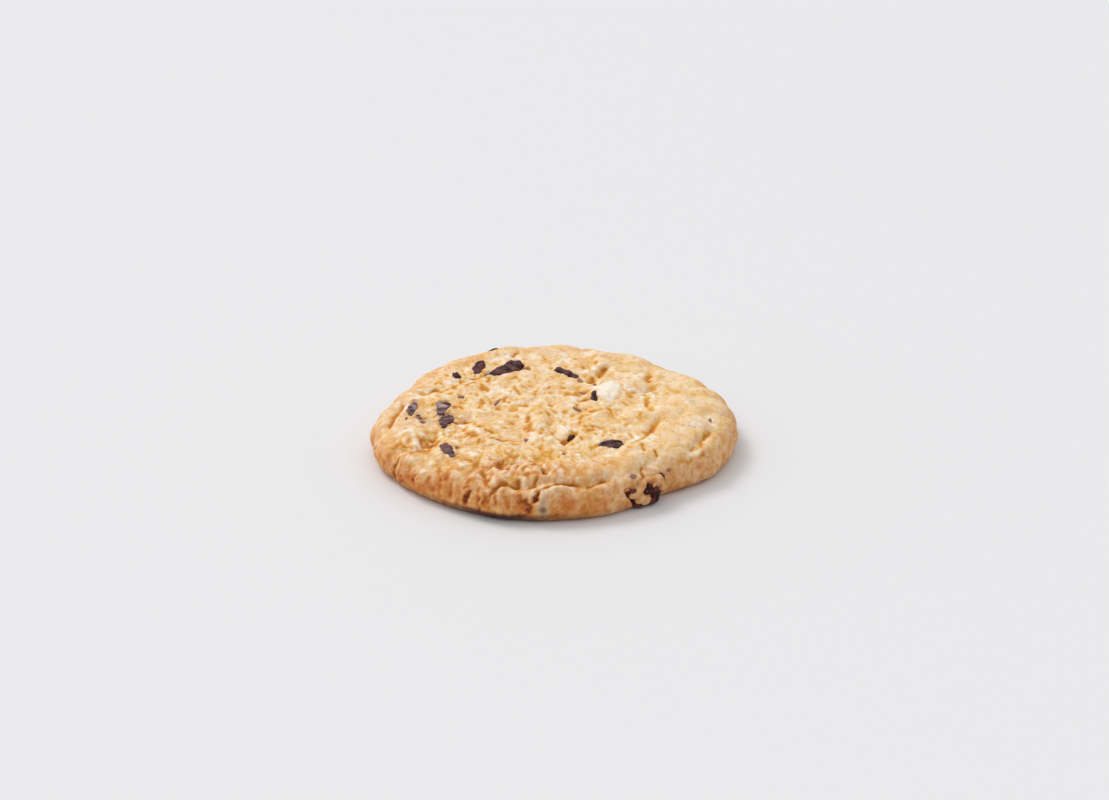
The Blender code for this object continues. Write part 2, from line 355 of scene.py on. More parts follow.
@dataclass(frozen=True)
class CookieForm:
    """The outline and section of the whole round, as the model has them.

    The lumps and the grooves are in mm, and all else in metres.
    """

    mean_radius: float = 49.2 * MM
    edge_height: float = 11.0 * MM
    crown: float = 1.6 * MM
    widest_height: float = 4.4 * MM
    shoulder_depth: float = 8.5 * MM
    curl_depth: float = 3.2 * MM
    fold_size: float = 8.5 * MM
    fold_height: float = 1.5 * MM
    swells: tuple[Swell, ...] = (
        Swell(200, 2.0 * MM, 30),
        Swell(254, 1.7 * MM, 22),
        Swell(310, -4.1 * MM, 15),
        Swell(355, 1.3 * MM, 30),
        Swell(48, -1.5 * MM, 22),
        Swell(115, 0.3 * MM, 20),
        Swell(157, -2.5 * MM, 18),
    )
    lumps: tuple[Lump, ...] = (
        Lump((36, -4), 1.3, 17, 8.5, 80),
        Lump((14.8, 10.0), 1.2, 6.2, 3.8, 85),
        Lump((22, -30), 0.9, 15, 5.5, 38),
        Lump((-2, -38), 0.7, 14, 5, 0),
        Lump((-41, -13), 0.8, 8, 5, 110),
        Lump((-14, 39), 0.9, 9, 4, 20),
        Lump((-3.9, -9.5), 0.6, 6.5, 3.0, 90),
        Lump((-2, -1), -0.7, 24, 20, 0),
        Lump((-24, -10), -0.5, 7, 12, 0),
    )
    grooves: tuple[Crack, ...] = (
        Crack(1.4, 1.5, ((-10.4, -46.3), (-5.1, -45.6), (0.3, -44.7), (7.5, -45.3), (14.4, -42.1))),
        Crack(1.8, 1.3, ((-32.8, -17.0), (-34.3, -20.4), (-36.1, -24.1))),
        Crack(1.3, 0.9, ((-37.5, -25.4), (-41.3, -23.8), (-44.0, -22.9))),
        Crack(1.4, 0.9, ((42.6, -13.7), (41.2, -17.3), (37.4, -24.4))),
        Crack(1.6, 1.1, ((28.3, -8.9), (26.8, -14.1))),
        Crack(1.4, 1.0, ((27.4, 25.2), (26.2, 18.9))),
        Crack(1.4, 0.9, ((27.7, 13.6), (25.4, 11.5), (21.7, 9.7))),
        Crack(1.4, 1.1, ((15.5, 28.3), (13.0, 22.2), (11.1, 16.9))),
        Crack(1.5, 1.0, ((-25.4, -7.2), (-23.4, -5.6))),
        Crack(1.4, 1.2, ((-17.4, -38.4), (-18.7, -40.3), (-19.3, -42.1))),
        Crack(1.4, 1.0, ((-14.2, -38.4), (-13.4, -34.8), (-9.1, -35.5))),
        Crack(1.4, 0.9, ((-4.0, -34.0), (-2.0, -40.5))),
        Crack(1.4, 0.9, ((-42.2, 4.3), (-44.4, -4.4), (-46.2, -10.0))),
    )


    def outline(self, angles: Array) -> Array:
        """How far the rim is from the middle in these directions, in radians."""
        degrees = np.degrees(angles)
        return self.mean_radius + sum(swell.at(degrees) for swell in self.swells)

    def section(self, angles: Array, stage: "Stage") -> tuple[Array, Array]:
        """Lays a ring of the smooth section.

        Args:
            angles: the direction of each of its vertices, in radians.
            stage: where on the section the ring is.

        Returns:
            The points, and the way out of the surface at each.
        """
        rim = self.outline(angles)
        rise = self.edge_height - self.widest_height
        turn = (stage.shoulder if stage.curl == 0 else stage.curl) * math.pi / 2
        if stage.curl > 0:
            radius = rim - self.curl_depth * (1 - math.cos(turn))
            height = self.widest_height * (1 - math.sin(turn))
            out, up = math.cos(turn), -math.sin(turn)
        elif stage.shoulder > 0:
            radius = rim - self.shoulder_depth * (1 - math.sin(turn))
            height = self.widest_height + rise * math.cos(turn)
            out, up = math.sin(turn), math.cos(turn)
        else:
            radius = (rim - self.shoulder_depth) * stage.top
            height = self.edge_height + self.crown * (1 - stage.top**2)
            out, up = 0.0, 1.0
        radius = radius * (1 - stage.under)
        direction = np.stack([np.cos(angles), np.sin(angles)], axis=1)
        points = np.column_stack([direction * radius[:, None], np.full(len(angles), height)])
        normals = np.column_stack([direction * out, np.full(len(angles), up)])
        return points, normals

    def relief(self, plan: Array) -> Array:
        """Finds how far the model's surface stands out over the smooth section.

        Args:
            plan: plan points, one a row.

        Returns:
            A height for each point.
        """
        flat = np.column_stack([plan, np.zeros(len(plan))])
        height = self.fold_height * puffs(flat, self.fold_size)
        height += sum(lump.at(plan) for lump in self.lumps)
        return height + sum(groove.at(plan) for groove in self.grooves)


@dataclass(frozen=True)
class Stage:
    """Where a ring lies on the section: its share of the way along each of the four stretches."""

    top: float
    shoulder: float = 0.0
    curl: float = 0.0
    under: float = 0.0


# ---------------------------------------------------------------- meshes


def new_object(name: str, data: bpy.types.ID) -> bpy.types.Object:
    """Makes an object and puts it in the scene.

    Args:
        name: its name.
        data: its mesh, lamp or camera.

    Returns:
        The object.
    """
    made = bpy.data.objects.new(name, data)
    bpy.context.scene.collection.objects.link(made)
    return made


def mesh_from(name: str, shape: bmesh.types.BMesh) -> bpy.types.Mesh:
    """Writes a shape to a new mesh and frees it.

    Args:
        name: the mesh's name.
        shape: the shape, which can't be used afterwards.

    Returns:
        The mesh.
    """
    mesh = bpy.data.meshes.new(name)
    shape.to_mesh(mesh)
    shape.free()
    return mesh


def add_piece(name: str, mesh: bpy.types.Mesh, finish: bpy.types.Material) -> bpy.types.Object:
    """Places a finished mesh as a piece of the cookie.

    Args:
        name: the piece's name.
        mesh: its mesh, in the model's own frame.
        finish: its material.

    Returns:
        The piece, which rides on the cookie's one body.
    """
    mesh.materials.clear()
    mesh.materials.append(finish)
    mesh.shade_smooth()
    piece = new_object(name, mesh)
    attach(piece, BODY)
    return piece


def read_rows(rows: bpy.types.bpy_prop_collection, field: str) -> Array:
    """Reads three numbers off each row of a mesh's data.

    Args:
        rows: the mesh's vertices or their normals.
        field: what to read off each.

    Returns:
        The numbers, one row each.
    """
    flat = np.empty(len(rows) * 3)
    rows.foreach_get(field, flat)
    return flat.reshape(-1, 3)


def mesh_points(mesh: bpy.types.Mesh) -> Array:
    """The places of a mesh's vertices, one a row."""
    return read_rows(mesh.vertices, "co")


def mesh_normals(mesh: bpy.types.Mesh) -> Array:
    """The way out at each of a mesh's vertices, one a row."""
    return read_rows(mesh.vertex_normals, "vector")


def mesh_tree(mesh: bpy.types.Mesh) -> BVHTree:
    """A mesh's surface, for rays and nearest points."""
    faces = [tuple(face.vertices) for face in mesh.polygons]
    return BVHTree.FromPolygons(mesh_points(mesh).tolist(), faces)


def move_points(mesh: bpy.types.Mesh, points: Array) -> None:
    """Puts a mesh's vertices at these places."""
    mesh.vertices.foreach_set("co", points.ravel())
    mesh.update()


def write_masks(mesh: bpy.types.Mesh, masks: dict[Mask, Array]) -> None:
    """Gives a mesh the values of its masks, cut off at 0 and 1.

    Args:
        mesh: the mesh.
        masks: for each mask, a value for each vertex.
    """
    for mask, values in masks.items():
        layer = mesh.attributes.new(mask.value, "FLOAT", "POINT")
        layer.data.foreach_set("value", np.clip(values, 0.0, 1.0))


def smoothed(values: Array, edges: Array, rounds: int) -> Array:
    """Evens out the values of a mesh's vertices.

    Args:
        values: a value for each vertex.
        edges: the two vertices of each edge, one a row.
        rounds: how many times each vertex takes the mean of its neighbours.

    Returns:
        The new values.
    """
    count = np.bincount(edges.ravel(), minlength=len(values))
    for _ in range(rounds):
        total = np.bincount(edges[:, 0], values[edges[:, 1]], len(values))
        total += np.bincount(edges[:, 1], values[edges[:, 0]], len(values))
        values = total / count
    return values


def levelled(values: Array) -> Array:
    """The values in steps of their own spread, cut off at three steps."""
    return np.clip(values / values.std(), -3.0, 3.0)


def strongest(places: tuple[Lump, ...], plan: Array) -> Array:
    """How much each plan point lies in any of these places, from 0 to 1."""
    return np.clip(np.max([place.height * place.share(plan) for place in places], axis=0), 0.0, 1.0)


def between_rings(inner: int, outer: int) -> Array:
    """Joins a ring of inner vertices to one of outer vertices around it.

    Args:
        inner: how many vertices the inner ring has; it comes first in the numbering.
        outer: how many the outer ring has.

    Returns:
        The triangles, three vertex numbers a row, counted from the inner ring's first.
    """
    steps_in = (np.arange(inner if inner > 1 else 0) + 0.5) / inner
    steps_out = (np.arange(outer if outer > 1 else 0) + 0.5) / outer
    goes_in = np.concatenate([np.ones(len(steps_in), int), np.zeros(len(steps_out), int)])
    goes_in = goes_in[np.argsort(np.concatenate([steps_in, steps_out]), kind="stable")]
    at_in = np.cumsum(goes_in) - goes_in
    at_out = np.cumsum(1 - goes_in) - (1 - goes_in)
    here = at_in % inner
    there = inner + at_out % outer
    last = np.where(goes_in == 1, (at_in + 1) % inner, inner + (at_out + 1) % outer)
    return np.stack([here, there, last], axis=1)


# ---------------------------------------------------------------- the dough's texture


@dataclass(frozen=True)
class Crumbs:
    """The broken surface of the middle, drawn out a little from front to back. Heights are in mm."""

    drawn: Point3 = (1.0, 1.6, 1.6)
    wide_stir: Stir = Stir(4.0, 1.3, 3.1)
    close_stir: Stir = Stir(1.8, 0.6, 6.1)
    swell: Layer = Layer(5.0, 2.2, 0.5)
    small_swell: Layer = Layer(2.4, 11.7, 0.26)
    crumb: Layer = Layer(1.55, 7.4)
    small_crumb: Layer = Layer(0.85, 5.2)
    pit: Layer = Layer(1.9, 21.3)
    line: Layer = Layer(3.4, 13.6)
    where_lines: Layer = Layer(3.4, 31.9)
    where_seams: Layer = Layer(3.0, 37.4)
    crumb_height: float = 0.22
    small_crumb_height: float = 0.1
    pit_depth: float = 0.3
    line_depth: float = 0.28
    seam_depth: float = 0.14

    def at(self, points: Array) -> tuple[Array, Array]:
        """Breaks up the smooth surface.

        Args:
            points: places on the smooth surface.

        Returns:
            The height of its swells, crumbs and pits in metres, and how much each is in a pit.
        """
        drawn = points / np.array(self.drawn)
        wound = self.wide_stir.at(drawn)
        close = self.close_stir.at(drawn)
        crumb = self.crumb.at(close)
        swells = self.swell.at(wound) + self.small_swell.at(close)
        crumbs = self.crumb_height * smoothstep(0.0, 0.16, crumb)
        crumbs += self.small_crumb_height * smoothstep(0.05, 0.3, self.small_crumb.at(close))
        pits = smoothstep(0.26, 0.52, self.pit.at(close))
        lines = bell(self.line.at(wound), 0.0, 0.1) * smoothstep(0.2, 0.45, self.where_lines.at(points))
        seams = 0.75 * bell(crumb, -0.04, 0.07) * smoothstep(0.0, 0.3, self.where_seams.at(points))
        height = swells + crumbs - self.pit_depth * pits - self.line_depth * lines - self.seam_depth * seams
        return MM * height, np.maximum(np.maximum(pits, lines), seams)


@dataclass(frozen=True)
class Folds:
    """Thick folds with creases between them. Heights are in mm."""

    drawn: Point3 = (1.0, 1.25, 1.25)
    stir: Stir = Stir(4.0, 1.6, 17.3)
    wide_size: float = 5.0 * MM
    wide_height: float = 1.3
    narrow_size: float = 2.2 * MM
    narrow_height: float = 0.8
    narrow_shift: float = 0.01

    def at(self, points: Array) -> tuple[Array, Array]:
        """Folds up the smooth surface.

        Args:
            points: places on the smooth surface.

        Returns:
            The height of the folds in metres, and how much each place is in a crease between them.
        """
        wound = self.stir.at(points / np.array(self.drawn))
        wide = puffs(wound, self.wide_size)
        narrow = puffs(wound + self.narrow_shift, self.narrow_size, 0.04)
        crease = 1 - smoothstep(-0.3, -0.08, wide)
        crease = np.maximum(crease, 0.8 * (1 - smoothstep(-0.3, -0.14, narrow)))
        return MM * (self.wide_height * wide + self.narrow_height * narrow), crease


@dataclass(frozen=True)
class Wrinkles:
    """Upright wrinkles around the side, drawn out up it and in over the rim. Heights are in mm."""

    height_share: float = 0.3
    radius_share: float = 0.15
    stir: Stir = Stir(3.0, 0.9, 27.1)
    wide_size: float = 4.2 * MM
    wide_height: float = 0.9
    narrow_size: float = 1.8 * MM
    narrow_height: float = 0.7

    def at(self, points: Array) -> tuple[Array, Array]:
        """Wrinkles the smooth surface.

        Args:
            points: places on the smooth surface.

        Returns:
            The height of the wrinkles in metres, and how much each place is between two of them.
        """
        radius = np.maximum(np.hypot(points[:, 0], points[:, 1]), MM)
        around = points[:, :2] / radius[:, None] * SIDE_RADIUS
        along = self.height_share * points[:, 2] + self.radius_share * radius
        wound = self.stir.at(np.column_stack([around, along]))
        wide = puffs(wound, self.wide_size, 0.1)
        narrow = puffs(wound, self.narrow_size, 0.08)
        height = self.wide_height * wide + self.narrow_height * narrow
        return MM * height, 1 - smoothstep(-0.25, -0.08, narrow)


# ---------------------------------------------------------------- the dough


@dataclass
class RoundSurface:
    """The smooth surface of the round, in rings from the middle of the top to that of the underside.

    Each point takes its weight of the relief, and its depth is how far down the section it lies, from 0
    on the top to 1 at the underside's edge.
    """

    points: Array
    normals: Array
    weight: Array
    depth: Array
    faces: Array

    def __post_init__(self) -> None:
        """Works out the plan, the directions and the edges."""
        self.plan = self.points[:, :2]
        self.radius = np.hypot(self.plan[:, 0], self.plan[:, 1])
        self.degrees = np.degrees(np.arctan2(self.plan[:, 1], self.plan[:, 0]))
        self.edges = np.concatenate([self.faces[:, :2], self.faces[:, 1:]])


@dataclass(frozen=True)
class Zones:
    """How much each point of the dough lies in each kind of place, from 0 to 1."""

    calm: Array
    folds: Array
    pale: Array
    side: Array
    near_rim: Array
    front_left: Array


@dataclass(frozen=True)
class ThinSpot:
    """A place where chocolate shows through the skin: its middle and reach in mm, and how much."""

    middle: Point3
    reach: Point3
    most: float

    def share(self, points: Array) -> Array:
        """How much shows at each point."""
        gap = (points - np.array(self.middle) * MM) / (np.array(self.reach) * MM)
        return self.most * np.exp(-((gap**2).sum(axis=1)))


@dataclass
class DoughRound:
    """The baked dough: the model's form in fine rings, with crumbs, pits, folds and cracks.

    The places, mounds, cracks and fissures are in mm, and the lengths along the section in metres.
    """

    form: CookieForm
    spacing: float = 0.36 * MM
    under_spacing: float = 1.1 * MM
    top_length: float = 40.7 * MM
    shoulder_length: float = 12.0 * MM
    curl_length: float = 6.0 * MM
    highest: float = 13.4 * MM
    crevice_depth: float = 0.12 * MM
    crumb_strength: float = 0.5
    wrinkle_strength: float = 0.42
    pit_hollow: float = 1.15
    fold_hollow: float = 1.5
    wrinkle_hollow: float = 0.3
    crevice_hollow: float = 0.9
    middle_tone: float = 0.38
    hollow_shade_tone: float = 0.36
    split_and_shade_tone: float = 0.6
    peak_rounds: tuple[int, int] = (4, 40)
    cavity_shade_tones: tuple[float, float] = (0.05, 0.07)
    rim_browning: float = 0.4
    side_browning: float = 0.72
    fold_browning: float = 0.12
    sparse_from: Point2 = (-10 * MM, 30 * MM)
    calm_places: tuple[Lump, ...] = (
        Lump((38, -3), 1.0, 28, 10.0, 84),
        Lump((33, 18), 0.8, 12, 7.0, 110),
        Lump((23, -32), 1.0, 20, 6.0, 36),
        Lump((2, 41), 0.9, 42, 8.5, 0),
        Lump((14.8, 9.5), 1.0, 8, 4.8, 85),
        Lump((25.0, 12.5), 0.75, 8, 5.0, 60),
        Lump((-41, -14), 0.9, 6, 4, 100),
        Lump((-43, 14), 0.8, 12, 4.5, 60),
        Lump((4, -37), 0.5, 10, 4.5, 5),
    )
    folded_places: tuple[Lump, ...] = (
        Lump((-14, -36), 1.0, 19, 8.0, -12),
        Lump((-37, -21), 0.9, 7, 8, 120),
        Lump((3, -33), 0.5, 14, 6, 0),
        Lump((-27, -14), 0.6, 8, 9, 0),
    )
    thin_places: tuple[ThinSpot, ...] = (
        ThinSpot((-2.3, -50.0, 8.2), (1.1, 4.0, 1.4), 0.4),
        ThinSpot((-2.7, -50.0, 6.2), (1.2, 4.0, 2.0), 0.65),
        ThinSpot((-2.9, -50.0, 4.2), (1.4, 4.0, 1.7), 1.05),
        ThinSpot((38.6, 2.4, 11.0), (2.4, 4.0, 6.0), 0.3),
        ThinSpot((41.2, -3.0, 11.0), (2.0, 4.5, 6.0), 0.3),
        ThinSpot((27.5, 12.0, 12.0), (2.5, 5.0, 6.0), 0.2),
        ThinSpot((-34.5, -7.0, 12.0), (1.5, 3.0, 6.0), 0.4),
    )
    pale_places: tuple[Lump, ...] = (
        Lump((15.0, 9.0), 1.0, 6.0, 3.4, 85),
        Lump((20, 20), 0.15, 9, 6, 60),
        Lump((-6, 36), 0.2, 9, 3, 10),
        Lump((-13, -41), 0.2, 6, 3, 0),
    )
    mounds: tuple[Mound, ...] = (
        Mound((15.2, 8.8), 0.6, 6.4, 3.4, 80),
        Mound((-4.2, -9.8), 0.4, 7.4, 3.0, 88),
        Mound((-0.4, -24.4), 0.3, 4.6, 2.8, 80),
        Mound((-21.3, -18.4), 0.3, 5.4, 3.4, 60),
        Mound((-14.4, -13.2), 0.3, 6.4, 3.0, 100),
        Mound((12.4, -9.4), 0.2, 6.0, 3.6, 70),
        Mound((-29.2, 17.6), 0.25, 6.0, 3.0, 60),
        Mound((-15.6, -41.6), 0.4, 4.2, 3.2, 90),
        Mound((-7.4, -42.2), 0.35, 4.4, 3.0, 70),
    )
    cracks: tuple[Crack, ...] = (
        Crack(0.55, 1.1, ((-4.4, -48.2), (-2.1, -46.9), (-0.8, -46.0), (0.8, -45.1)), 0.7),
        Crack(0.5, 1.3, ((0.8, -45.1), (2.9, -45.0), (5.1, -45.0), (6.9, -45.7)), 1.15),
        Crack(0.5, 1.0, ((9.1, -45.6), (10.7, -44.8), (12.3, -43.7), (13.8, -43.0)), 0.9),
        Crack(0.6, 1.3, ((-15.8, -46.6), (-14.1, -45.7), (-12.8, -45.3)), 1.0),
        Crack(0.5, 0.9, ((-12.5, -45.6), (-10.7, -46.4)), 0.7),
        Crack(0.4, 0.7, ((-4.8, -43.8), (-4.8, -46.7)), 0.6),
        Crack(0.5, 0.8, ((-9.3, -44.5), (-10.1, -46.1)), 0.4),
        Crack(0.8, 1.2, ((-19.8, -39.2), (-18.7, -42.8), (-18.1, -43.9)), 0.7),
        Crack(0.8, 1.1, ((-14.7, -34.8), (-13.9, -38.3), (-12.2, -39.4)), 0.6),
        Crack(0.45, 1.1, ((-3.4, -36.7), (-2.9, -39.3), (-2.4, -41.4)), 0.9),
        Crack(0.7, 0.2, ((-38.6, -26.4), (-41.8, -26.0), (-43.7, -26.3)), 0.7),
        Crack(0.6, 0.2, ((-41.0, -27.6), (-42.3, -28.5)), 0.6),
        Crack(1.6, 0.5, ((-33.1, -18.5), (-33.6, -22.5), (-35.8, -25.0)), 0.9),
        Crack(0.7, 0.4, ((-35.8, -25.0), (-38.2, -25.6), (-41.1, -24.6)), 0.7),
        Crack(0.5, 0.5, ((-31.4, -18.9), (-31.8, -21.9)), 0.8),
        Crack(0.5, 0.7, ((42.6, -13.7), (41.2, -17.3), (39.2, -21.8), (37.4, -24.4)), 0.5),
        Crack(0.8, 0.5, ((28.3, -8.9), (27.6, -11.5), (26.8, -14.1)), 0.5),
        Crack(0.5, 0.6, ((26.4, -15.0), (24.6, -19.0), (21.4, -24.6)), 0.3),
        Crack(0.6, 0.6, ((27.4, 25.2), (26.8, 22), (26.2, 18.9)), 0.6),
        Crack(0.6, 0.7, ((27.7, 13.6), (25.4, 11.5), (21.7, 9.7)), 0.4),
        Crack(0.7, 0.7, ((26.5, 8.1), (25.6, 2.0), (26.8, -4.4)), 0.35),
        Crack(1.2, 0.5, ((14.4, 27.7), (12.0, 21.8), (9.9, 17.4)), 0.75),
        Crack(0.9, 0.9, ((-26.7, -8.5), (-25.0, -6.7), (-23.7, -7.8)), 0.75),
        Crack(0.5, 0.4, ((-17.1, -21.3), (-13.3, -21.4), (-9.5, -22.3)), 0.7),
        Crack(0.6, 0.5, ((9.3, -13.8), (12.3, -14.0)), 0.7),
        Crack(0.8, 0.5, ((2.7, -11.5),), 0.7),
        Crack(0.6, 0.7, ((-42.2, 4.3), (-44.4, -4.4), (-46.2, -10.0)), 0.5),
        Crack(0.8, 0.7, ((-38.9, 12.0), (-35.5, 10.8), (-33.4, 12.6)), 0.5),
        Crack(0.7, 0.7, ((-17.7, -16.2), (-15.3, -16.7)), 0.8),
        Crack(0.8, 0.7, ((-23.4, -16.6), (-22.0, -17.6)), 0.8),
        Crack(0.5, 0.6, ((7.6, -32.3), (10.2, -34.4), (13.4, -37.0)), 0.5),
        Crack(1.1, 0.9, ((5.6, -17.8), (4.2, -20.6), (2.6, -23.0)), 0.7),
        Crack(0.5, 0.7, ((-10.3, 38.1), (-12.0, 34.9)), 0.4),
        Crack(0.5, 0.4, ((-25.6, 19.6), (-21.9, 19.3), (-18.3, 19.9)), 0.6),
        Crack(0.45, 0.6, ((23.9, -23.9), (24.4, -27.9)), 0.7),
        Crack(0.45, 0.5, ((27.6, -27.6), (27.8, -29.2)), 0.7),
        Crack(0.45, 0.6, ((23.5, -36.0), (23.4, -38.0)), 0.8),
        Crack(0.45, 0.5, ((-7.2, -7.4), (-6.9, -12.4), (-6.1, -16.6), (-4.6, -18.6), (-3.2, -17.4)), 0.7),
        Crack(0.45, 0.4, ((-3.8, -2.0), (-2.5, -4.1)), 0.6),
        Crack(0.5, 0.5, ((-1.4, -14.2), (-1.2, -12.0)), 0.6),
        Crack(0.5, 0.4, ((41.0, -24.1), (36.8, -28.2), (33.5, -29.5)), 0.25),
        Crack(1.9, 0.6, ((7.4, 12.0), (8.6, 8.6), (9.0, 5.0)), 0.8),
    )
    fissures: tuple[Fissure, ...] = (
        Fissure(0.6, 1.0, 0.9, ((242.7, 6.7), (242.1, 5.4), (241.6, 4.0))),
        Fissure(0.4, 0.5, 0.6, ((241.1, 7.9),)),
        Fissure(0.3, 0.4, 0.3, ((231.6, 8.2), (231.9, 6.9), (232.6, 5.8))),
        Fissure(0.4, 0.3, 0.15, ((229.2, 5.4), (229.4, 2.6))),
        Fissure(0.4, 0.3, 0.15, ((236.3, 7.5), (236.6, 4.0))),
        Fissure(0.3, 0.4, 0.2, ((227.4, 7.6), (227.0, 6.0))),
        Fissure(0.4, 0.5, 0.4, ((215.1, 4.2), (215.4, 3.2))),
        Fissure(0.25, 0.5, 0.45, ((245.7, 8.3), (246.7, 5.8), (246.7, 1.6))),
        Fissure(0.3, 0.5, 0.3, ((248.6, 7.0), (248.0, 4.4))),
        Fissure(0.3, 0.4, 0.25, ((250.0, 7.2), (249.5, 5.0))),
        Fissure(0.4, 0.8, 0.7, ((251.8, 7.2), (252.5, 5.5))),
        Fissure(0.3, 0.5, 0.4, ((254.1, 8.4), (254.8, 6.9))),
        Fissure(0.3, 0.4, 0.25, ((255.7, 6.4), (256.2, 4.9))),
        Fissure(0.6, 1.6, 1.5, ((265.0, 8.5), (264.8, 8.2))),
        Fissure(0.55, 1.5, 1.5, ((264.3, 7.4), (264.2, 7.1))),
        Fissure(0.9, 0.5, 0.85, ((261.6, 6.4), (262.9, 4.8), (262.2, 3.9))),
        Fissure(1.2, 0.3, 0.25, ((260.8, 6.4), (261.4, 4.6))),
        Fissure(1.4, 0.2, 0.25, ((274.6, 4.8), (276.8, 6.0))),
        Fissure(0.9, 0.2, 0.25, ((284.5, 5.4), (285.9, 5.9))),
        Fissure(0.9, 0.2, 0.2, ((270.8, 3.0),)),
        Fissure(0.4, 0.3, 0.3, ((318.7, 5.4),)),
        Fissure(0.4, 0.2, 0.2, ((325.0, 6.4), (325.6, 5.6))),
        Fissure(0.4, 0.4, 0.2, ((205.0, 6.0), (205.6, 4.2))),
        Fissure(0.4, 0.4, 0.2, ((196.5, 6.6), (196.0, 5.0))),
        Fissure(0.4, 0.4, 0.3, ((221.4, 6.4), (221.0, 4.8))),
    )
    crumbs: Crumbs = Crumbs()
    thick_folds: Folds = Folds()
    wrinkles: Wrinkles = Wrinkles()
    grains: tuple[Layer, ...] = (Layer(0.6, 4.4, 0.07), Layer(1.2, 1.9, 0.13))
    unevenness: Layer = Layer(7.5, 7.7, 0.35)
    crack_strength: Layer = Layer(2.6, 44.0)
    crack_stir: Stir = Stir(2.2, 0.8, 9.9)
    fissure_stir: Stir = Stir(1.4, 0.7, 19.0)
    mottles: tuple[Layer, ...] = (Layer(2.1, 61.0, 0.16), Layer(1.0, 66.0, 0.08))
    patches: Layer = Layer(6.0, 51.0, 0.22)
    toasted_patches: Layer = Layer(8.0, 6.6, 0.25)
    freckles: Layer = Layer(1.25, 91.0)
    small_freckles: Layer = Layer(0.8, 97.0)
    thin_patches: Layer = Layer(2.4, 81.0, 0.4)
    front_left: Swell = Swell(240, 1.0, 42)
    # Painted light: how much paler the right rim is, partly a paler bake there.
    painted_light_right: Swell = Swell(0, 0.36, 45)
    pale_front: Swell = Swell(222, 0.14, 16)
    pale_shoulder: Swell = Swell(215, 0.32, 20)
    pale_back: Swell = Swell(100, 0.16, 50)
    # Where the painted shade at the foot of the side lies, around the front left.
    base_shade: Swell = Swell(252, 0.9, 20)

    @staticmethod
    def shares(length: float, spacing: float) -> list[float]:
        """Even shares from 0 to 1 over a length, about this far apart."""
        return np.linspace(0.0, 1.0, round(length / spacing) + 1).tolist()

    def stages(self) -> list[tuple[Stage, float]]:
        """Lists the rings from the middle of the top down to the middle of the underside.

        Returns:
            Each ring's stage, and the distance between its vertices.
        """
        rings = [Stage(share) for share in self.shares(self.top_length, self.spacing)]
        rings += [Stage(1.0, share) for share in self.shares(self.shoulder_length, self.spacing)[1:]]
        rings += [Stage(1.0, 1.0, share) for share in self.shares(self.curl_length, self.spacing)[1:]]
        under = self.shares(self.form.mean_radius, self.under_spacing)[1:]
        stages = [(ring, self.spacing) for ring in rings]
        return stages + [(Stage(1.0, 1.0, 1.0, share), self.under_spacing) for share in under]

    def surface(self) -> RoundSurface:
        """Lays all the rings and joins them.

        Returns:
            The smooth surface.
        """
        points, normals, weights, depths, faces = [], [], [], [], []
        first, inner = 0, 0
        for stage, spacing in self.stages():
            radius = self.form.mean_radius * stage.top * (1 - stage.under)
            if stage.shoulder == 0 and stage.top < 1:
                radius = self.top_length * stage.top
            count = max(1, round(math.tau * radius / spacing)) if radius > spacing / 2 else 1
            ring, out = self.form.section(np.arange(count) * math.tau / count, stage)
            points.append(ring)
            normals.append(out)
            weights.append(np.full(count, 1 - stage.curl))
            depths.append(np.full(count, (stage.shoulder + stage.curl) / 2))
            if inner:
                faces.append(between_rings(inner, count) + first)
                first += inner
            inner = count
        return RoundSurface(*(np.concatenate(part) for part in (points, normals, weights, depths, faces)))

    def zones(self, surface: RoundSurface) -> Zones:
        """Sorts the surface's points into kinds of place.

        Args:
            surface: the smooth surface.

        Returns:
            Each point's share of each kind.
        """
        return Zones(
            calm=strongest(self.calm_places, surface.plan),
            folds=strongest(self.folded_places, surface.plan),
            pale=strongest(self.pale_places, surface.plan),
            side=smoothstep(0.12, 0.45, surface.depth),
            near_rim=smoothstep(0.82, 1.0, surface.radius / self.top_length),
            front_left=self.front_left.at(surface.degrees),
        )

    def texture(self, surface: RoundSurface, zones: Zones) -> tuple[Array, Array]:
        """Makes the crumbs, the folds and the wrinkles, each where it belongs.

        Args:
            surface: the smooth surface.
            zones: the kinds of place on it.

        Returns:
            The fine height of each point in metres, and how deep in a hollow it is.
        """
        points, side = surface.points, zones.side
        rough_side = 0.15 + 0.85 * zones.front_left
        even = 0.4 + 0.6 * (1 - zones.front_left)
        broken, pits = self.crumbs.at(points)
        share = (1 - 0.8 * zones.calm) * (1 - 0.75 * side * even) * (1 - 0.5 * zones.near_rim * even)
        fine = self.crumb_strength * broken * share
        hollow = self.pit_hollow * pits * share
        broken, creases = self.thick_folds.at(points)
        share = zones.folds * (1 - 0.5 * side)
        fine += broken * share
        hollow = np.maximum(hollow, self.fold_hollow * creases * share)
        broken, creases = self.wrinkles.at(points)
        fine += self.wrinkle_strength * broken * side * rough_side
        hollow = np.maximum(hollow, self.wrinkle_hollow * creases * side * rough_side)
        grain = sum(layer.at(points) for layer in self.grains)
        fine += MM * (grain + self.unevenness.at(points))
        return fine, hollow

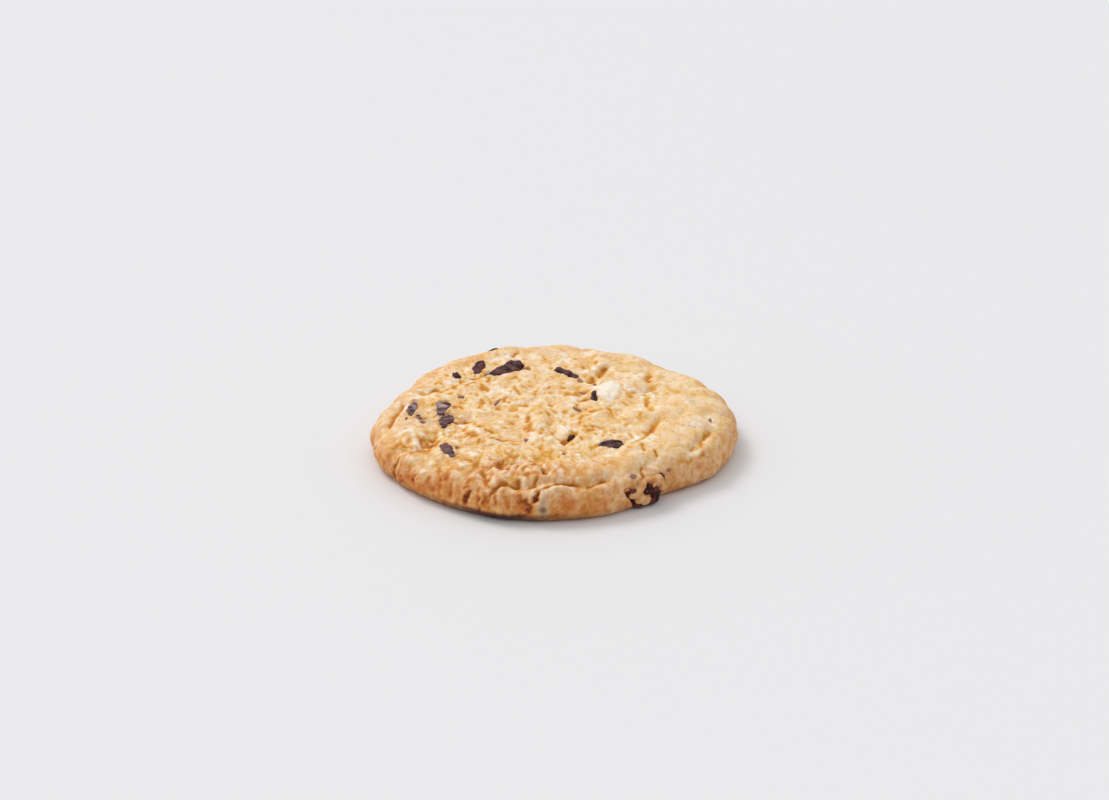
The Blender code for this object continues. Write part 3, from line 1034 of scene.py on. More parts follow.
    def break_up(
        self, surface: RoundSurface, fine: Array, hollow: Array
    ) -> tuple[Array, Array, Array, Array]:
        """Adds the mounds, the cracks and the fissures.

        Args:
            surface: the smooth surface.
            fine: the fine height of each point, in metres.
            hollow: how deep in a hollow each point is.

        Returns:
            The new fine height and hollow of each point, how far a mound raises it, and how dark the inside
            of a crack makes it, partly browning and partly painted shade.
        """
        points, on_side = surface.points, surface.depth > 0
        strength = np.clip(0.8 + self.crack_strength.at(points), 0.15, 1.2)
        winding = surface.plan + (self.crack_stir.at(points) - points)[:, :2]
        split_and_shade = np.zeros(len(points))
        raised = np.zeros(len(points))
        for mound in self.mounds:
            raised += mound.rise(winding)
            ring = mound.crevice(winding) * strength * strength
            fine = fine - self.crevice_depth * ring
            hollow = np.maximum(hollow, self.crevice_hollow * ring)
        for crack in self.cracks:
            fine = fine + crack.at(winding) * strength
            split_and_shade = np.maximum(split_and_shade, crack.tone * crack.share(winding) * strength)
        ragged = self.fissure_stir.at(points) - points
        around = np.radians(surface.degrees % 360) * SIDE_RADIUS
        unrolled = np.column_stack([around + ragged[:, 0], points[:, 2] + ragged[:, 2]])
        for fissure in self.fissures:
            fine = fine + fissure.at(unrolled) * on_side
            split_and_shade = np.maximum(split_and_shade, fissure.tone * fissure.share(unrolled) * on_side)
        return smoothed(fine, surface.edges, 1), hollow, raised, split_and_shade

    def recess_tone_and_shade(
        self, surface: RoundSurface, zones: Zones, fine: Array, hollow: Array, split_and_shade: Array
    ) -> Array:
        """Works out where the dough is golden and darker, in its hollows, and where it is pale, on its
        peaks: partly the dough's own tone and partly painted shade in the hollows.

        Args:
            surface: the smooth surface.
            zones: the kinds of place on it.
            fine: the fine height of each point, in metres.
            hollow: how deep in a hollow each point is.
            split_and_shade: how dark the inside of a crack makes it, partly browning and partly painted
                shade.

        Returns:
            A value for each point, from 0 on a peak to 1 in a hollow.
        """
        value = self.middle_tone
        # Painted shade: points below their smoothed neighbours, and points in pits, folds, crevices and
        # cracks, turn darker and more golden, partly the dough's own colour.
        for rounds, tone in zip(self.peak_rounds, self.cavity_shade_tones):
            value = value + tone * levelled(smoothed(fine, surface.edges, rounds) - fine)
        value = value + self.hollow_shade_tone * hollow + self.split_and_shade_tone * split_and_shade
        mottle = sum(layer.at(surface.points / np.array(self.crumbs.drawn)) for layer in self.mottles)
        cloudy = mottle + self.patches.at(surface.points)
        return value + (cloudy * (1 - 0.8 * zones.pale) - 0.6 * zones.pale)

    def browning(self, surface: RoundSurface, zones: Zones) -> Array:
        """Works out how browned the dough is: most at its side and its rim, and least at the right, where
        the paler rim is partly painted light on a side that the lamp leaves in shade.

        Args:
            surface: the smooth surface.
            zones: the kinds of place on it.

        Returns:
            A value for each point, from 0 to 1.
        """
        depth, degrees, near_rim = surface.depth, surface.degrees, zones.near_rim
        value = self.rim_browning * near_rim * (1 - 0.5 * zones.pale)
        value = value + self.side_browning * smoothstep(0.06, 0.55, depth)
        # Less browning away from the front left, and the paler right rim below: partly painted light on the
        # side that the lamp leaves in shade.
        value = value * (0.6 + 0.4 * zones.front_left) + self.fold_browning * zones.folds
        value -= self.fold_browning * zones.front_left * (1 - zones.side)
        value -= self.painted_light_right.at(degrees) * near_rim * (1 - 0.6 * zones.side)
        value -= self.pale_front.at(degrees) * zones.side
        value -= self.pale_shoulder.at(degrees) * (1 - smoothstep(0.3, 0.55, depth))
        value -= self.pale_back.at(degrees) * near_rim
        return value + self.toasted_patches.at(surface.points) * (0.3 + near_rim)

    def freckled(self, surface: RoundSurface, zones: Zones) -> Array:
        """Scatters small reddish freckles, fewest on the right of the top.

        Args:
            surface: the smooth surface.
            zones: the kinds of place on it.

        Returns:
            How much each point lies in a freckle, from 0 to 1.
        """
        close = surface.points / np.array(self.crumbs.drawn)
        sparse = smoothstep(*self.sparse_from, surface.plan[:, 0]) * (1 - zones.side)
        spots = smoothstep(0.22, 0.42, self.freckles.at(close)) * (1 - 0.75 * sparse)
        spots = np.maximum(spots, smoothstep(0.3, 0.45, self.small_freckles.at(surface.points)))
        return spots * ((0.45 + 0.55 * np.maximum(zones.side, zones.folds)) * (1 - 0.7 * zones.pale))

    def thin_skin(self, points: Array) -> Array:
        """How much chocolate shows through the skin at each point, from 0 to 1."""
        most = np.max([spot.share(points) for spot in self.thin_places], axis=0)
        return most * (1 + self.thin_patches.at(points))

    def build(self, finish: bpy.types.Material, beds: "list[Bed | Notch]") -> bpy.types.Object:
        """Makes the dough.

        Args:
            finish: the baked dough's material.
            beds: the hollows that the chunks of chocolate lie in.

        Returns:
            The piece that replaces the model's dough.
        """
        surface = self.surface()
        zones = self.zones(surface)
        fine, hollow = self.texture(surface, zones)
        fine, hollow, raised, split_and_shade = self.break_up(surface, fine, hollow)
        lift = self.form.relief(surface.plan) + fine + raised
        smear = np.zeros(len(lift))
        for bed in beds:
            lift, stain = bed.press(surface.points, lift)
            smear = np.maximum(smear, stain)
        placed = surface.points + surface.normals * (lift * surface.weight)[:, None]
        placed[:, 2] = np.clip(placed[:, 2], 0.0, self.highest)
        mesh = bpy.data.meshes.new("dough_round")
        mesh.from_pydata(placed.tolist(), [], surface.faces.tolist())
        # Painted shade: a dark strip low on the front-left side where it meets the floor, partly a browner
        # baked edge.
        shaded = 0.1 + self.base_shade.at(surface.degrees)
        masks = {
            Mask.RECESS_TONE_AND_SHADE: self.recess_tone_and_shade(surface, zones, fine, hollow, split_and_shade),
            Mask.BROWNING: self.browning(surface, zones),
            Mask.SMEAR: smear,
            Mask.BASE: smoothstep(0.57, 0.67, surface.depth) * shaded,
            Mask.THIN: self.thin_skin(surface.points),
            Mask.FRECKLE: self.freckled(surface, zones),
            Mask.SPLIT: smoothstep(0.5, 1.2, split_and_shade),
        }
        write_masks(mesh, masks)
        piece = add_piece(mesh.name, mesh, finish)
        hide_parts("cookie_dough")
        return piece


@dataclass
class Bed:
    """The hollow in the dough around one chunk, measured from the model's own block.

    Its reach beyond the block's outline and the width of its smear are in mm.
    """

    node: str
    reach: float = 0.1
    smear: float = 0.22
    drop: float = 0.5 * MM
    lip: float = 0.2 * MM
    edges: tuple[Layer, ...] = (Layer(1.7, 12.5, 0.6), Layer(0.7, 2.5, 0.3))
    raggedness: Layer = Layer(1.3, 71.0, 1.2)

    def __post_init__(self) -> None:
        """Reads the block's outline and the slope of its top off its mesh."""
        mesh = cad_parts[self.node].data
        points = mesh_points(mesh)
        top = points[(mesh_normals(mesh)[:, 2] > 0.4) & (points[:, 2] > points[:, 2].mean())]
        self.outline = outline_around(points[:, :2])
        level = np.column_stack([top[:, :2], np.ones(len(top))])
        self.slope, *_ = np.linalg.lstsq(level, top[:, 2], rcond=None)

    def press(self, places: Array, lift: Array) -> tuple[Array, Array]:
        """Presses the hollow into the dough.

        Args:
            places: points of the smooth surface.
            lift: how far the dough stands out over each.

        Returns:
            The new lift, and how stained each point is.
        """
        plan = places[:, :2]
        away = distance_outside(plan, self.outline) / MM - self.reach
        away += sum(layer.at(places) for layer in self.edges)
        inside = 1 - smoothstep(-0.25, 0.25, away)
        ragged = 0.6 + self.raggedness.at(places)
        rim = bell(away, 0.8, 0.5) * ragged
        stain = 0.7 * bell(np.maximum(away, 0), 0.0, self.smear) * np.clip(ragged, 0, 1)
        block_top = np.column_stack([plan, np.ones(len(plan))]) @ self.slope
        floor = block_top - self.drop - places[:, 2]
        lowered = lift + (np.minimum(floor, lift) - lift) * inside
        return lowered + self.lip * rim, stain


@dataclass
class Notch:
    """The hollow in the side around the block in the rim, under a flap of dough."""

    node: str
    drop: float = 1.6 * MM
    flap: float = 0.9 * MM
    reach: float = 0.9 * MM
    flap_height: float = 7.6 * MM
    search: float = 12 * MM
    ray_start: float = 4 * MM
    ray_length: float = 9 * MM
    edge_size: float = 1.8 * MM
    edge_wander: float = 0.5 * MM
    flap_size: float = 2.0 * MM
    flap_offset: float = 0.6 * MM
    smear: float = 0.5 * MM

    def distances(self, places: Array) -> Array:
        """Measures the surface against the block.

        Args:
            places: points of the smooth surface.

        Returns:
            How far each is from the block's surface, less than 0 behind or in it, and 1 far away.
        """
        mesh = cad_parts[self.node].data
        block = mesh_tree(mesh)
        middle = mesh_points(mesh).mean(axis=0)
        outward = np.append(middle[:2], 0.0) / np.hypot(*middle[:2])
        away = np.full(len(places), 1.0)
        for index in np.flatnonzero(np.linalg.norm(places - middle, axis=1) < self.search).tolist():
            place = places[index]
            start = Vector(place - self.ray_start * outward)
            hit = block.ray_cast(start, Vector(outward), self.ray_length)[0]
            gap = block.find_nearest(place)[3]
            away[index] = -gap if hit is not None else gap
        return away

    def press(self, places: Array, lift: Array) -> tuple[Array, Array]:
        """Presses the hollow into the side and raises its edges.

        Args:
            places: points of the smooth surface.
            lift: how far the dough stands out over each.

        Returns:
            The new lift, and how stained each point is.
        """
        away = self.distances(places) + self.edge_wander * perlin(places, self.edge_size, 12.5)
        inside = 1 - smoothstep(-0.4 * MM, 0.3 * MM, away)
        above = smoothstep(-1.5 * MM, 1.0 * MM, places[:, 2] - self.flap_height)
        edge = bell(away, self.flap_offset, self.reach) * (0.8 + perlin(places, self.flap_size, 4.0))
        lifted = lift - self.drop * inside * (1 - above) + self.flap * edge * (0.4 + 0.6 * above)
        return lifted, 0.6 * bell(away, 0.0, self.smear) * (1 - above)


# ---------------------------------------------------------------- the chocolate


@dataclass
class ChocolateChunk:
    """One chunk, worn out of the model's block: softened edges, broken faces and a fine grain.

    It has melted and spread sideways, which fills the gap around the block.
    """

    node: str
    # How grey the upward faces get: partly blooming, partly a painted sheen of the sky.
    bloom_and_sheen: float = 0.12
    voxel: float = 0.24 * MM
    softening: int = 2
    wear: float = 0.3 * MM
    spread: float = 0.3 * MM
    grain: float = 0.05 * MM
    grain_size: float = 0.5 * MM
    stir: Stir = Stir(2.0, 0.5, 2.0)
    broken: Layer = Layer(1.9, 5.0, 1.4)
    chip_size: float = 2.0 * MM
    chip_shift: float = 9.0
    cloudy: Layer = Layer(1.8, 15.0)

    def refined(self) -> bpy.types.Mesh:
        """Lays small even faces over the block.

        Returns:
            The new mesh.
        """
        block = new_object("block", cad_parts[self.node].data.copy())
        remesh = block.modifiers.new("remesh", "REMESH")
        remesh.mode = "VOXEL"
        remesh.voxel_size = self.voxel
        smooth = block.modifiers.new("smooth", "SMOOTH")
        smooth.iterations = self.softening
        made = block.evaluated_get(bpy.context.evaluated_depsgraph_get())
        mesh = bpy.data.meshes.new_from_object(made)
        bpy.data.objects.remove(block)
        return mesh

    def build(self, finish: bpy.types.Material) -> bpy.types.Object:
        """Makes the chunk.

        Args:
            finish: the chocolate's material.

        Returns:
            The piece that replaces the model's block.
        """
        mesh = self.refined()
        mesh.name = self.node + "_melted"
        points = mesh_points(mesh)
        normals = mesh_normals(mesh)
        near, second = nearest_grains(points, self.chip_size, self.chip_shift)
        chips = smoothstep(0.0, 0.4, second - near)
        worn = self.wear * (self.broken.at(self.stir.at(points)) + 0.5 * (chips - 0.7))
        worn = worn + self.grain * perlin(points, self.grain_size, 1.0)
        sideways = normals * np.array([1.0, 1.0, 0.2])
        move_points(mesh, points + normals * worn[:, None] + self.spread * sideways)
        cloudy = smoothstep(-0.25, 0.3, self.cloudy.at(points))
        # Grey only on upward faces: partly blooming, partly a painted sheen of the bright sky on the tops.
        bloom_and_sheen = self.bloom_and_sheen * cloudy * smoothstep(0.2, 0.9, normals[:, 2])
        # The dents of the worn faces get a higher value and turn darker: painted shade in the dents.
        write_masks(mesh, {Mask.RECESS_TONE_AND_SHADE: 0.5 - worn / self.wear, Mask.BLOOM: bloom_and_sheen})
        piece = add_piece(mesh.name, mesh, finish)
        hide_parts(self.node)
        return piece


@dataclass(frozen=True)
class Patch:
    """A round patch of the film: its middle, its reach and its thickness, in mm."""

    middle: Point3
    reach: float
    thickness: float

    def share(self, points: Array) -> Array:
        """How much of it there is at each point: 1 in its middle, 0 at its reach, less beyond."""
        gap = np.linalg.norm(points - np.array(self.middle) * MM, axis=1) / MM
        return 1 - gap / self.reach


@dataclass
class DoughFilm:
    """A thin coat of baked dough over part of a chunk: a shell that dips into it where it ends."""

    patches: tuple[Patch, ...] = (
        Patch((21.2, -41.7, 4.4), 1.2, 0.25),
        Patch((22.6, -41.0, 4.7), 1.7, 0.3),
        Patch((23.0, -41.0, 6.3), 1.4, 0.3),
        Patch((23.2, -40.7, 3.2), 1.7, 0.3),
        Patch((24.7, -39.9, 2.2), 1.7, 0.3),
        Patch((28.9, -36.1, 5.2), 1.5, 0.8),
        Patch((28.4, -36.8, 7.0), 1.9, 0.9),
        Patch((26.0, -38.0, 8.4), 2.1, 0.9),
        Patch((23.4, -39.4, 8.0), 1.9, 0.8),
        Patch((21.0, -40.4, 7.7), 1.7, 0.7),
        Patch((18.6, -41.2, 7.2), 1.8, 0.6),
        Patch((24.0, -35.0, 8.2), 5.4, 0.5),
    )
    sunk: float = 0.6 * MM
    dip: float = 0.27
    browning: float = 0.7
    thinness: float = 0.16
    softening: int = 30
    unevenness: float = 0.1 * MM
    edges: tuple[Layer, ...] = (Layer(2.2, 3.0, 0.12), Layer(0.8, 8.0, 0.14))
    uneven: Layer = Layer(1.8, 30.0)

    def build(self, chunk: bpy.types.Object, finish: bpy.types.Material) -> bpy.types.Object:
        """Makes the film.

        Args:
            chunk: the chunk that it lies on.
            finish: the baked dough's material.

        Returns:
            The piece.
        """
        mesh = chunk.data.copy()
        mesh.name = "rim_film"
        for mask in (Mask.RECESS_TONE_AND_SHADE, Mask.BLOOM):
            mesh.attributes.remove(mesh.attributes[mask.value])
        edges = np.array([edge.vertices for edge in mesh.edges])
        points = mesh_points(mesh)
        points = np.column_stack([smoothed(points[:, axis], edges, self.softening) for axis in range(3)])
        ragged = sum(layer.at(points) for layer in self.edges)
        cover = np.full(len(points), -1.0)
        rise = np.full(len(points), -self.sunk)
        for patch in self.patches:
            share = patch.share(points) + ragged
            cover = np.maximum(cover, share)
            step = smoothstep(-0.4, 0.4, share)
            rise = np.maximum(rise, (patch.thickness + self.dip) * MM * step - self.dip * MM)
        uneven = self.uneven.at(points)
        move_points(mesh, points + mesh_normals(mesh) * (rise + self.unevenness * uneven)[:, None])
        masks = {
            # Lower places of the film and its thin edges turn darker and more golden: partly its own tone,
            # partly painted shade.
            Mask.RECESS_TONE_AND_SHADE: 0.42 - 0.6 * uneven + 0.3 * (1 - smoothstep(0.0, 0.4, cover)),
            Mask.BROWNING: np.full(len(points), self.browning),
            Mask.THIN: np.full(len(points), self.thinness),
        }
        write_masks(mesh, masks)
        return add_piece(mesh.name, mesh, finish)


@dataclass(frozen=True)
class Fleck:
    """A small bit of chocolate in the surface, in mm and degrees.

    On the top its place is a plan point. On the side it is how far along X and how high it lies.
    """

    place: Point2
    length: float
    width: float
    turn: float
    on_side: bool = False
    tone: float = 0.4


@dataclass
class ChocolateFlecks:
    """All the small bits of chocolate, one joined mesh half sunk in the dough."""

    flecks: tuple[Fleck, ...] = (
        Fleck((-27.2, 20.3), 2.2, 3.0, 20, tone=0.8),
        Fleck((-26.0, 7.2), 2.5, 1.6, 0),
        Fleck((-15.7, 3.0), 3.6, 1.0, 68),
        Fleck((-7.6, -21.4), 2.2, 1.2, 90),
        Fleck((4.6, -20.2), 2.9, 1.3, 60, tone=1.0),
        Fleck((6.3, -2.4), 2.4, 1.4, 150),
        Fleck((21.3, -39.2), 2.2, 1.6, 20),
        Fleck((-26.4, -25.4), 1.8, 1.0, 80),
        Fleck((7.9, 9.8), 2.4, 1.6, 0),
        Fleck((7.2, 18.0), 3.4, 1.2, 115),
        Fleck((11.4, 13.2), 1.6, 1.0, 100),
        Fleck((42.9, -8.3), 2.2, 0.8, 85),
        Fleck((-40.6, -6.8), 1.6, 0.7, 70),
        Fleck((-7.6, 25.8), 2.4, 0.9, 0),
        Fleck((-22.5, 19.4), 2.6, 0.6, 0),
        Fleck((-17.2, 40.3), 3.0, 2.2, 10, tone=0.8),
        Fleck((-30.2, -27.8), 1.2, 0.8, 60),
        Fleck((2.6, -31.5), 0.9, 0.8, 20),
        Fleck((31.0, 7.6), 1.2, 0.8, 20, True),
    )
    height: float = 0.7 * MM
    above: float = 50 * MM
    in_front: float = -80 * MM
    lump_scales: tuple[float, float] = (1.3, 2.6)
    lump_heights: tuple[float, float] = (0.6, 0.3)
    apart: float = 5.0

    def build(self, dough: bpy.types.Object, finish: bpy.types.Material) -> bpy.types.Object:
        """Makes the flecks.

        Args:
            dough: the dough that they lie in, which gives their heights.
            finish: the chocolate's material.

        Returns:
            The joined piece.
        """
        surface = mesh_tree(dough.data)
        joined = bmesh.new()
        for number, fleck in enumerate(self.flecks):
            self.add(joined, fleck, surface, number)
        mesh = mesh_from("chocolate_flecks", joined)
        tones = [fleck.tone for fleck in self.flecks]
        write_masks(mesh, {Mask.RECESS_TONE_AND_SHADE: np.repeat(tones, len(mesh.vertices) // len(tones))})
        return add_piece(mesh.name, mesh, finish)

    def add(self, joined: bmesh.types.BMesh, fleck: Fleck, surface: BVHTree, number: int) -> None:
        """Adds one fleck to the joined mesh, lying along the surface.

        Args:
            joined: the joined mesh.
            fleck: the fleck.
            surface: the dough's surface.
            number: the fleck's own number, which makes its lumps differ from the others'.
        """
        first, second = (value * MM for value in fleck.place)
        start, way = Vector((first, second, self.above)), Vector((0, 0, -1))
        if fleck.on_side:
            start, way = Vector((first, self.in_front, second)), Vector((0, 1, 0))
        place, normal, _, _ = surface.ray_cast(start, way)
        ball = bmesh.ops.create_icosphere(joined, subdivisions=4, radius=1.0)["verts"]
        sides = Vector((fleck.length / 2 * MM, fleck.width / 2 * MM, self.height / 2))
        across = Vector((1, 0, 0)) - normal * normal.x
        across.normalize()
        lie = Matrix((across, normal.cross(across), normal)).transposed()
        lie = lie @ Matrix.Rotation(math.radians(fleck.turn), 3, "Z")
        wide_scale, close_scale = self.lump_scales
        wide, close = self.lump_heights
        for vertex in ball:
            seed = vertex.co * wide_scale + Vector((number * self.apart, 0.0, 0.0))
            vertex.co *= 1 + wide * noise.noise(seed) + close * noise.noise(seed * close_scale)
            vertex.co = lie @ Vector(a * b for a, b in zip(vertex.co, sides)) + place


# ---------------------------------------------------------------- shader building


class NodeSheet:
    """A node tree that finishes are written on, one call a node."""

    COLOUR_MIX_INPUTS = (0, 6, 7)  # the share and the two colours of a mix node
    COLOUR_MIX_OUTPUT = 2

    def __init__(self, tree: bpy.types.NodeTree) -> None:
        """Starts on this tree."""
        self.tree = tree

    def feed(self, socket: bpy.types.NodeSocket, value: Value) -> None:
        """Links a socket into an input, or sets the input to a value.

        Args:
            socket: the input.
            value: the socket to link from, or the value to set.
        """
        if isinstance(value, bpy.types.NodeSocket):
            self.tree.links.new(value, socket)
        else:
            socket.default_value = value

    def fill(self, node: bpy.types.Node, inputs: dict[str | int, Value]) -> None:
        """Gives a node's inputs their sockets or values."""
        for name, value in inputs.items():
            self.feed(node.inputs[name], value)

    def put(self, kind: str, inputs: dict[str | int, Value], **settings: object) -> bpy.types.Node:
        """Adds a node.

        Args:
            kind: its type's name.
            inputs: for each input, a socket to link from or a value to set.
            settings: properties of the node itself.

        Returns:
            The node.
        """
        node = self.tree.nodes.new(kind)
        for name, value in settings.items():
            setattr(node, name, value)
        self.fill(node, inputs)
        return node

    def group(self, tree: bpy.types.NodeTree, inputs: dict[str, Value]) -> bpy.types.Node:
        """Places a node group with its inputs."""
        return self.put("ShaderNodeGroup", inputs, node_tree=tree)

    def place(self) -> bpy.types.NodeSocket:
        """Where each point lies on its piece."""
        return self.put("ShaderNodeTexCoord", {}).outputs["Object"]

    def maths(self, operation: str, first: Value, second: Value = 0.0) -> bpy.types.NodeSocket:
        """One sum on values, cut off at nothing."""
        return self.put("ShaderNodeMath", {0: first, 1: second}, operation=operation).outputs[0]

    def rise(
        self, value: Value, low: float, high: float, start: float = 0.0, end: float = 1.0
    ) -> bpy.types.NodeSocket:
        """An even ramp from start at low to end at high, cut off beyond both."""
        inputs = {"Value": value, "From Min": low, "From Max": high, "To Min": start, "To Max": end}
        return self.put("ShaderNodeMapRange", inputs, interpolation_type="SMOOTHSTEP").outputs[0]

    def mix(self, share: Value, first: Value, second: Value, blend: str = "MIX") -> bpy.types.NodeSocket:
        """Mixes two colours.

        Args:
            share: how much of the second there is.
            first: the first colour.
            second: the second colour.
            blend: how the second is laid over the first.

        Returns:
            The mixed colour.
        """
        shades = (
            value if isinstance(value, bpy.types.NodeSocket) else (*value, 1.0) for value in (first, second)
        )
        inputs = dict(zip(self.COLOUR_MIX_INPUTS, (share, *shades)))
        node = self.put("ShaderNodeMix", inputs, data_type="RGBA", blend_type=blend)
        return node.outputs[self.COLOUR_MIX_OUTPUT]

    def ramp(self, value: Value, stops: Stops) -> bpy.types.NodeSocket:
        """Lays colours along a value.

        Args:
            value: the value.
            stops: the places of the colours along it, from 0 to 1, and the colours.

        Returns:
            The colour there.
        """
        node = self.put("ShaderNodeValToRGB", {"Fac": value})
        elements = node.color_ramp.elements
        while len(elements) < len(stops):
            elements.new(1.0)
        for element, (place, shade) in zip(elements, stops):
            element.position = place
            element.color = (*shade, 1.0)
        return node.outputs["Color"]

    def noise(self, where: Value, size: float, detail: float = 3.0) -> bpy.types.NodeSocket:
        """Noise of this size in metres, from 0 to 1."""
        inputs = {"Vector": where, "Scale": 1 / size, "Detail": detail, "Roughness": 0.55}
        return self.put("ShaderNodeTexNoise", inputs).outputs[0]

    def mask(self, mask: Mask) -> bpy.types.NodeSocket:
        """The mesh's own values of a mask."""
        return self.put("ShaderNodeAttribute", {}, attribute_name=mask.value).outputs["Fac"]

    def bump(self, height: Value, strength: float, distance: float) -> bpy.types.NodeSocket:
        """The way out of a surface that has this height."""
        inputs = {"Height": height, "Strength": strength, "Distance": distance}
        return self.put("ShaderNodeBump", inputs).outputs["Normal"]


class SurfaceEffects:
    """The node groups that the finishes are made with."""

    MOTTLE_SCALE = 0.12  # of the grain's own scale
    PIT_SCALE = 0.28
    LEAST_SPECK = 0.08  # of a cell of the specks' pattern
    SPECK_RANGE = 0.32

    def __init__(self) -> None:
        """Builds each group once."""
        self.grain = self.build_grain()
        self.specks = self.build_specks()

    @staticmethod
    def start(
        name: str, inputs: dict[str, float], outputs: tuple[str, ...]
    ) -> tuple[NodeSheet, bpy.types.Node, bpy.types.Node]:
        """Starts a group with named inputs and outputs.

        Args:
            name: the group's name.
            inputs: each input's name and default, all plain numbers.
            outputs: each output's name, all plain numbers too.

        Returns:
            The sheet to write on, its input node and its output node.
        """
        tree = bpy.data.node_groups.new(name, "ShaderNodeTree")
        for label, value in inputs.items():
            socket = tree.interface.new_socket(label, in_out="INPUT", socket_type="NodeSocketFloat")
            socket.default_value = value
        for label in outputs:
            tree.interface.new_socket(label, in_out="OUTPUT", socket_type="NodeSocketFloat")
        return NodeSheet(tree), tree.nodes.new("NodeGroupInput"), tree.nodes.new("NodeGroupOutput")

    def build_grain(self) -> bpy.types.NodeTree:
        """Writes a fine grain with small pits.

        Returns:
            The group, which gives a height for a bump and a slow change for a colour.
        """
        inputs = {"Grain Size": 0.3, "Pits": 0.5}
        sheet, given, result = self.start("fine_grain", inputs, ("Height", "Mottle"))
        where = sheet.place()
        scale = sheet.maths("DIVIDE", 1 / MM, given.outputs["Grain Size"])
        scales = (scale, sheet.maths("MULTIPLY", scale, self.MOTTLE_SCALE))
        fine, mottle = (
            sheet.put("ShaderNodeTexNoise", {"Vector": where, "Scale": each, "Detail": 3.0}).outputs[0]
            for each in scales
        )
        wide = sheet.maths("MULTIPLY", scale, self.PIT_SCALE)
        pits = sheet.put("ShaderNodeTexVoronoi", {"Vector": where, "Scale": wide}, feature="SMOOTH_F1")
        hollow = sheet.rise(pits.outputs["Distance"], 0.05, 0.45)
        deep = sheet.maths("MULTIPLY", hollow, given.outputs["Pits"])
        sheet.feed(result.inputs["Height"], sheet.maths("ADD", fine, deep))
        sheet.feed(result.inputs["Mottle"], mottle)
        return sheet.tree

    def build_specks(self) -> bpy.types.NodeTree:
        """Writes scattered round specks of uneven size.

        Returns:
            The group, which gives 1 in a speck and 0 outside them.
        """
        sheet, given, result = self.start("specks", {"Speck Size": 1.0, "Share": 0.2}, ("Mask",))
        scale = sheet.maths("DIVIDE", 1 / MM, given.outputs["Speck Size"])
        cells = sheet.put("ShaderNodeTexVoronoi", {"Vector": sheet.place(), "Scale": scale})
        pick = sheet.put("ShaderNodeSeparateColor", {"Color": cells.outputs["Color"]})
        chosen = sheet.maths("LESS_THAN", pick.outputs[0], given.outputs["Share"])
        extra = sheet.maths("MULTIPLY", pick.outputs[1], self.SPECK_RANGE)
        reach = sheet.maths("ADD", extra, self.LEAST_SPECK)
        close = sheet.maths("SUBTRACT", reach, cells.outputs["Distance"])
        spot = sheet.rise(close, 0.0, 0.1)
        sheet.feed(result.inputs["Mask"], sheet.maths("MULTIPLY", spot, chosen))
        return sheet.tree


def new_material(name: str) -> tuple[bpy.types.Material, NodeSheet, bpy.types.Node]:
    """Starts a material with a bare Principled BSDF.

    Args:
        name: the material's name.

    Returns:
        The material, its sheet and that node.
    """
    material = bpy.data.materials.new(name)
    material.use_nodes = True
    return material, NodeSheet(material.node_tree), material.node_tree.nodes["Principled BSDF"]


# ---------------------------------------------------------------- finishes


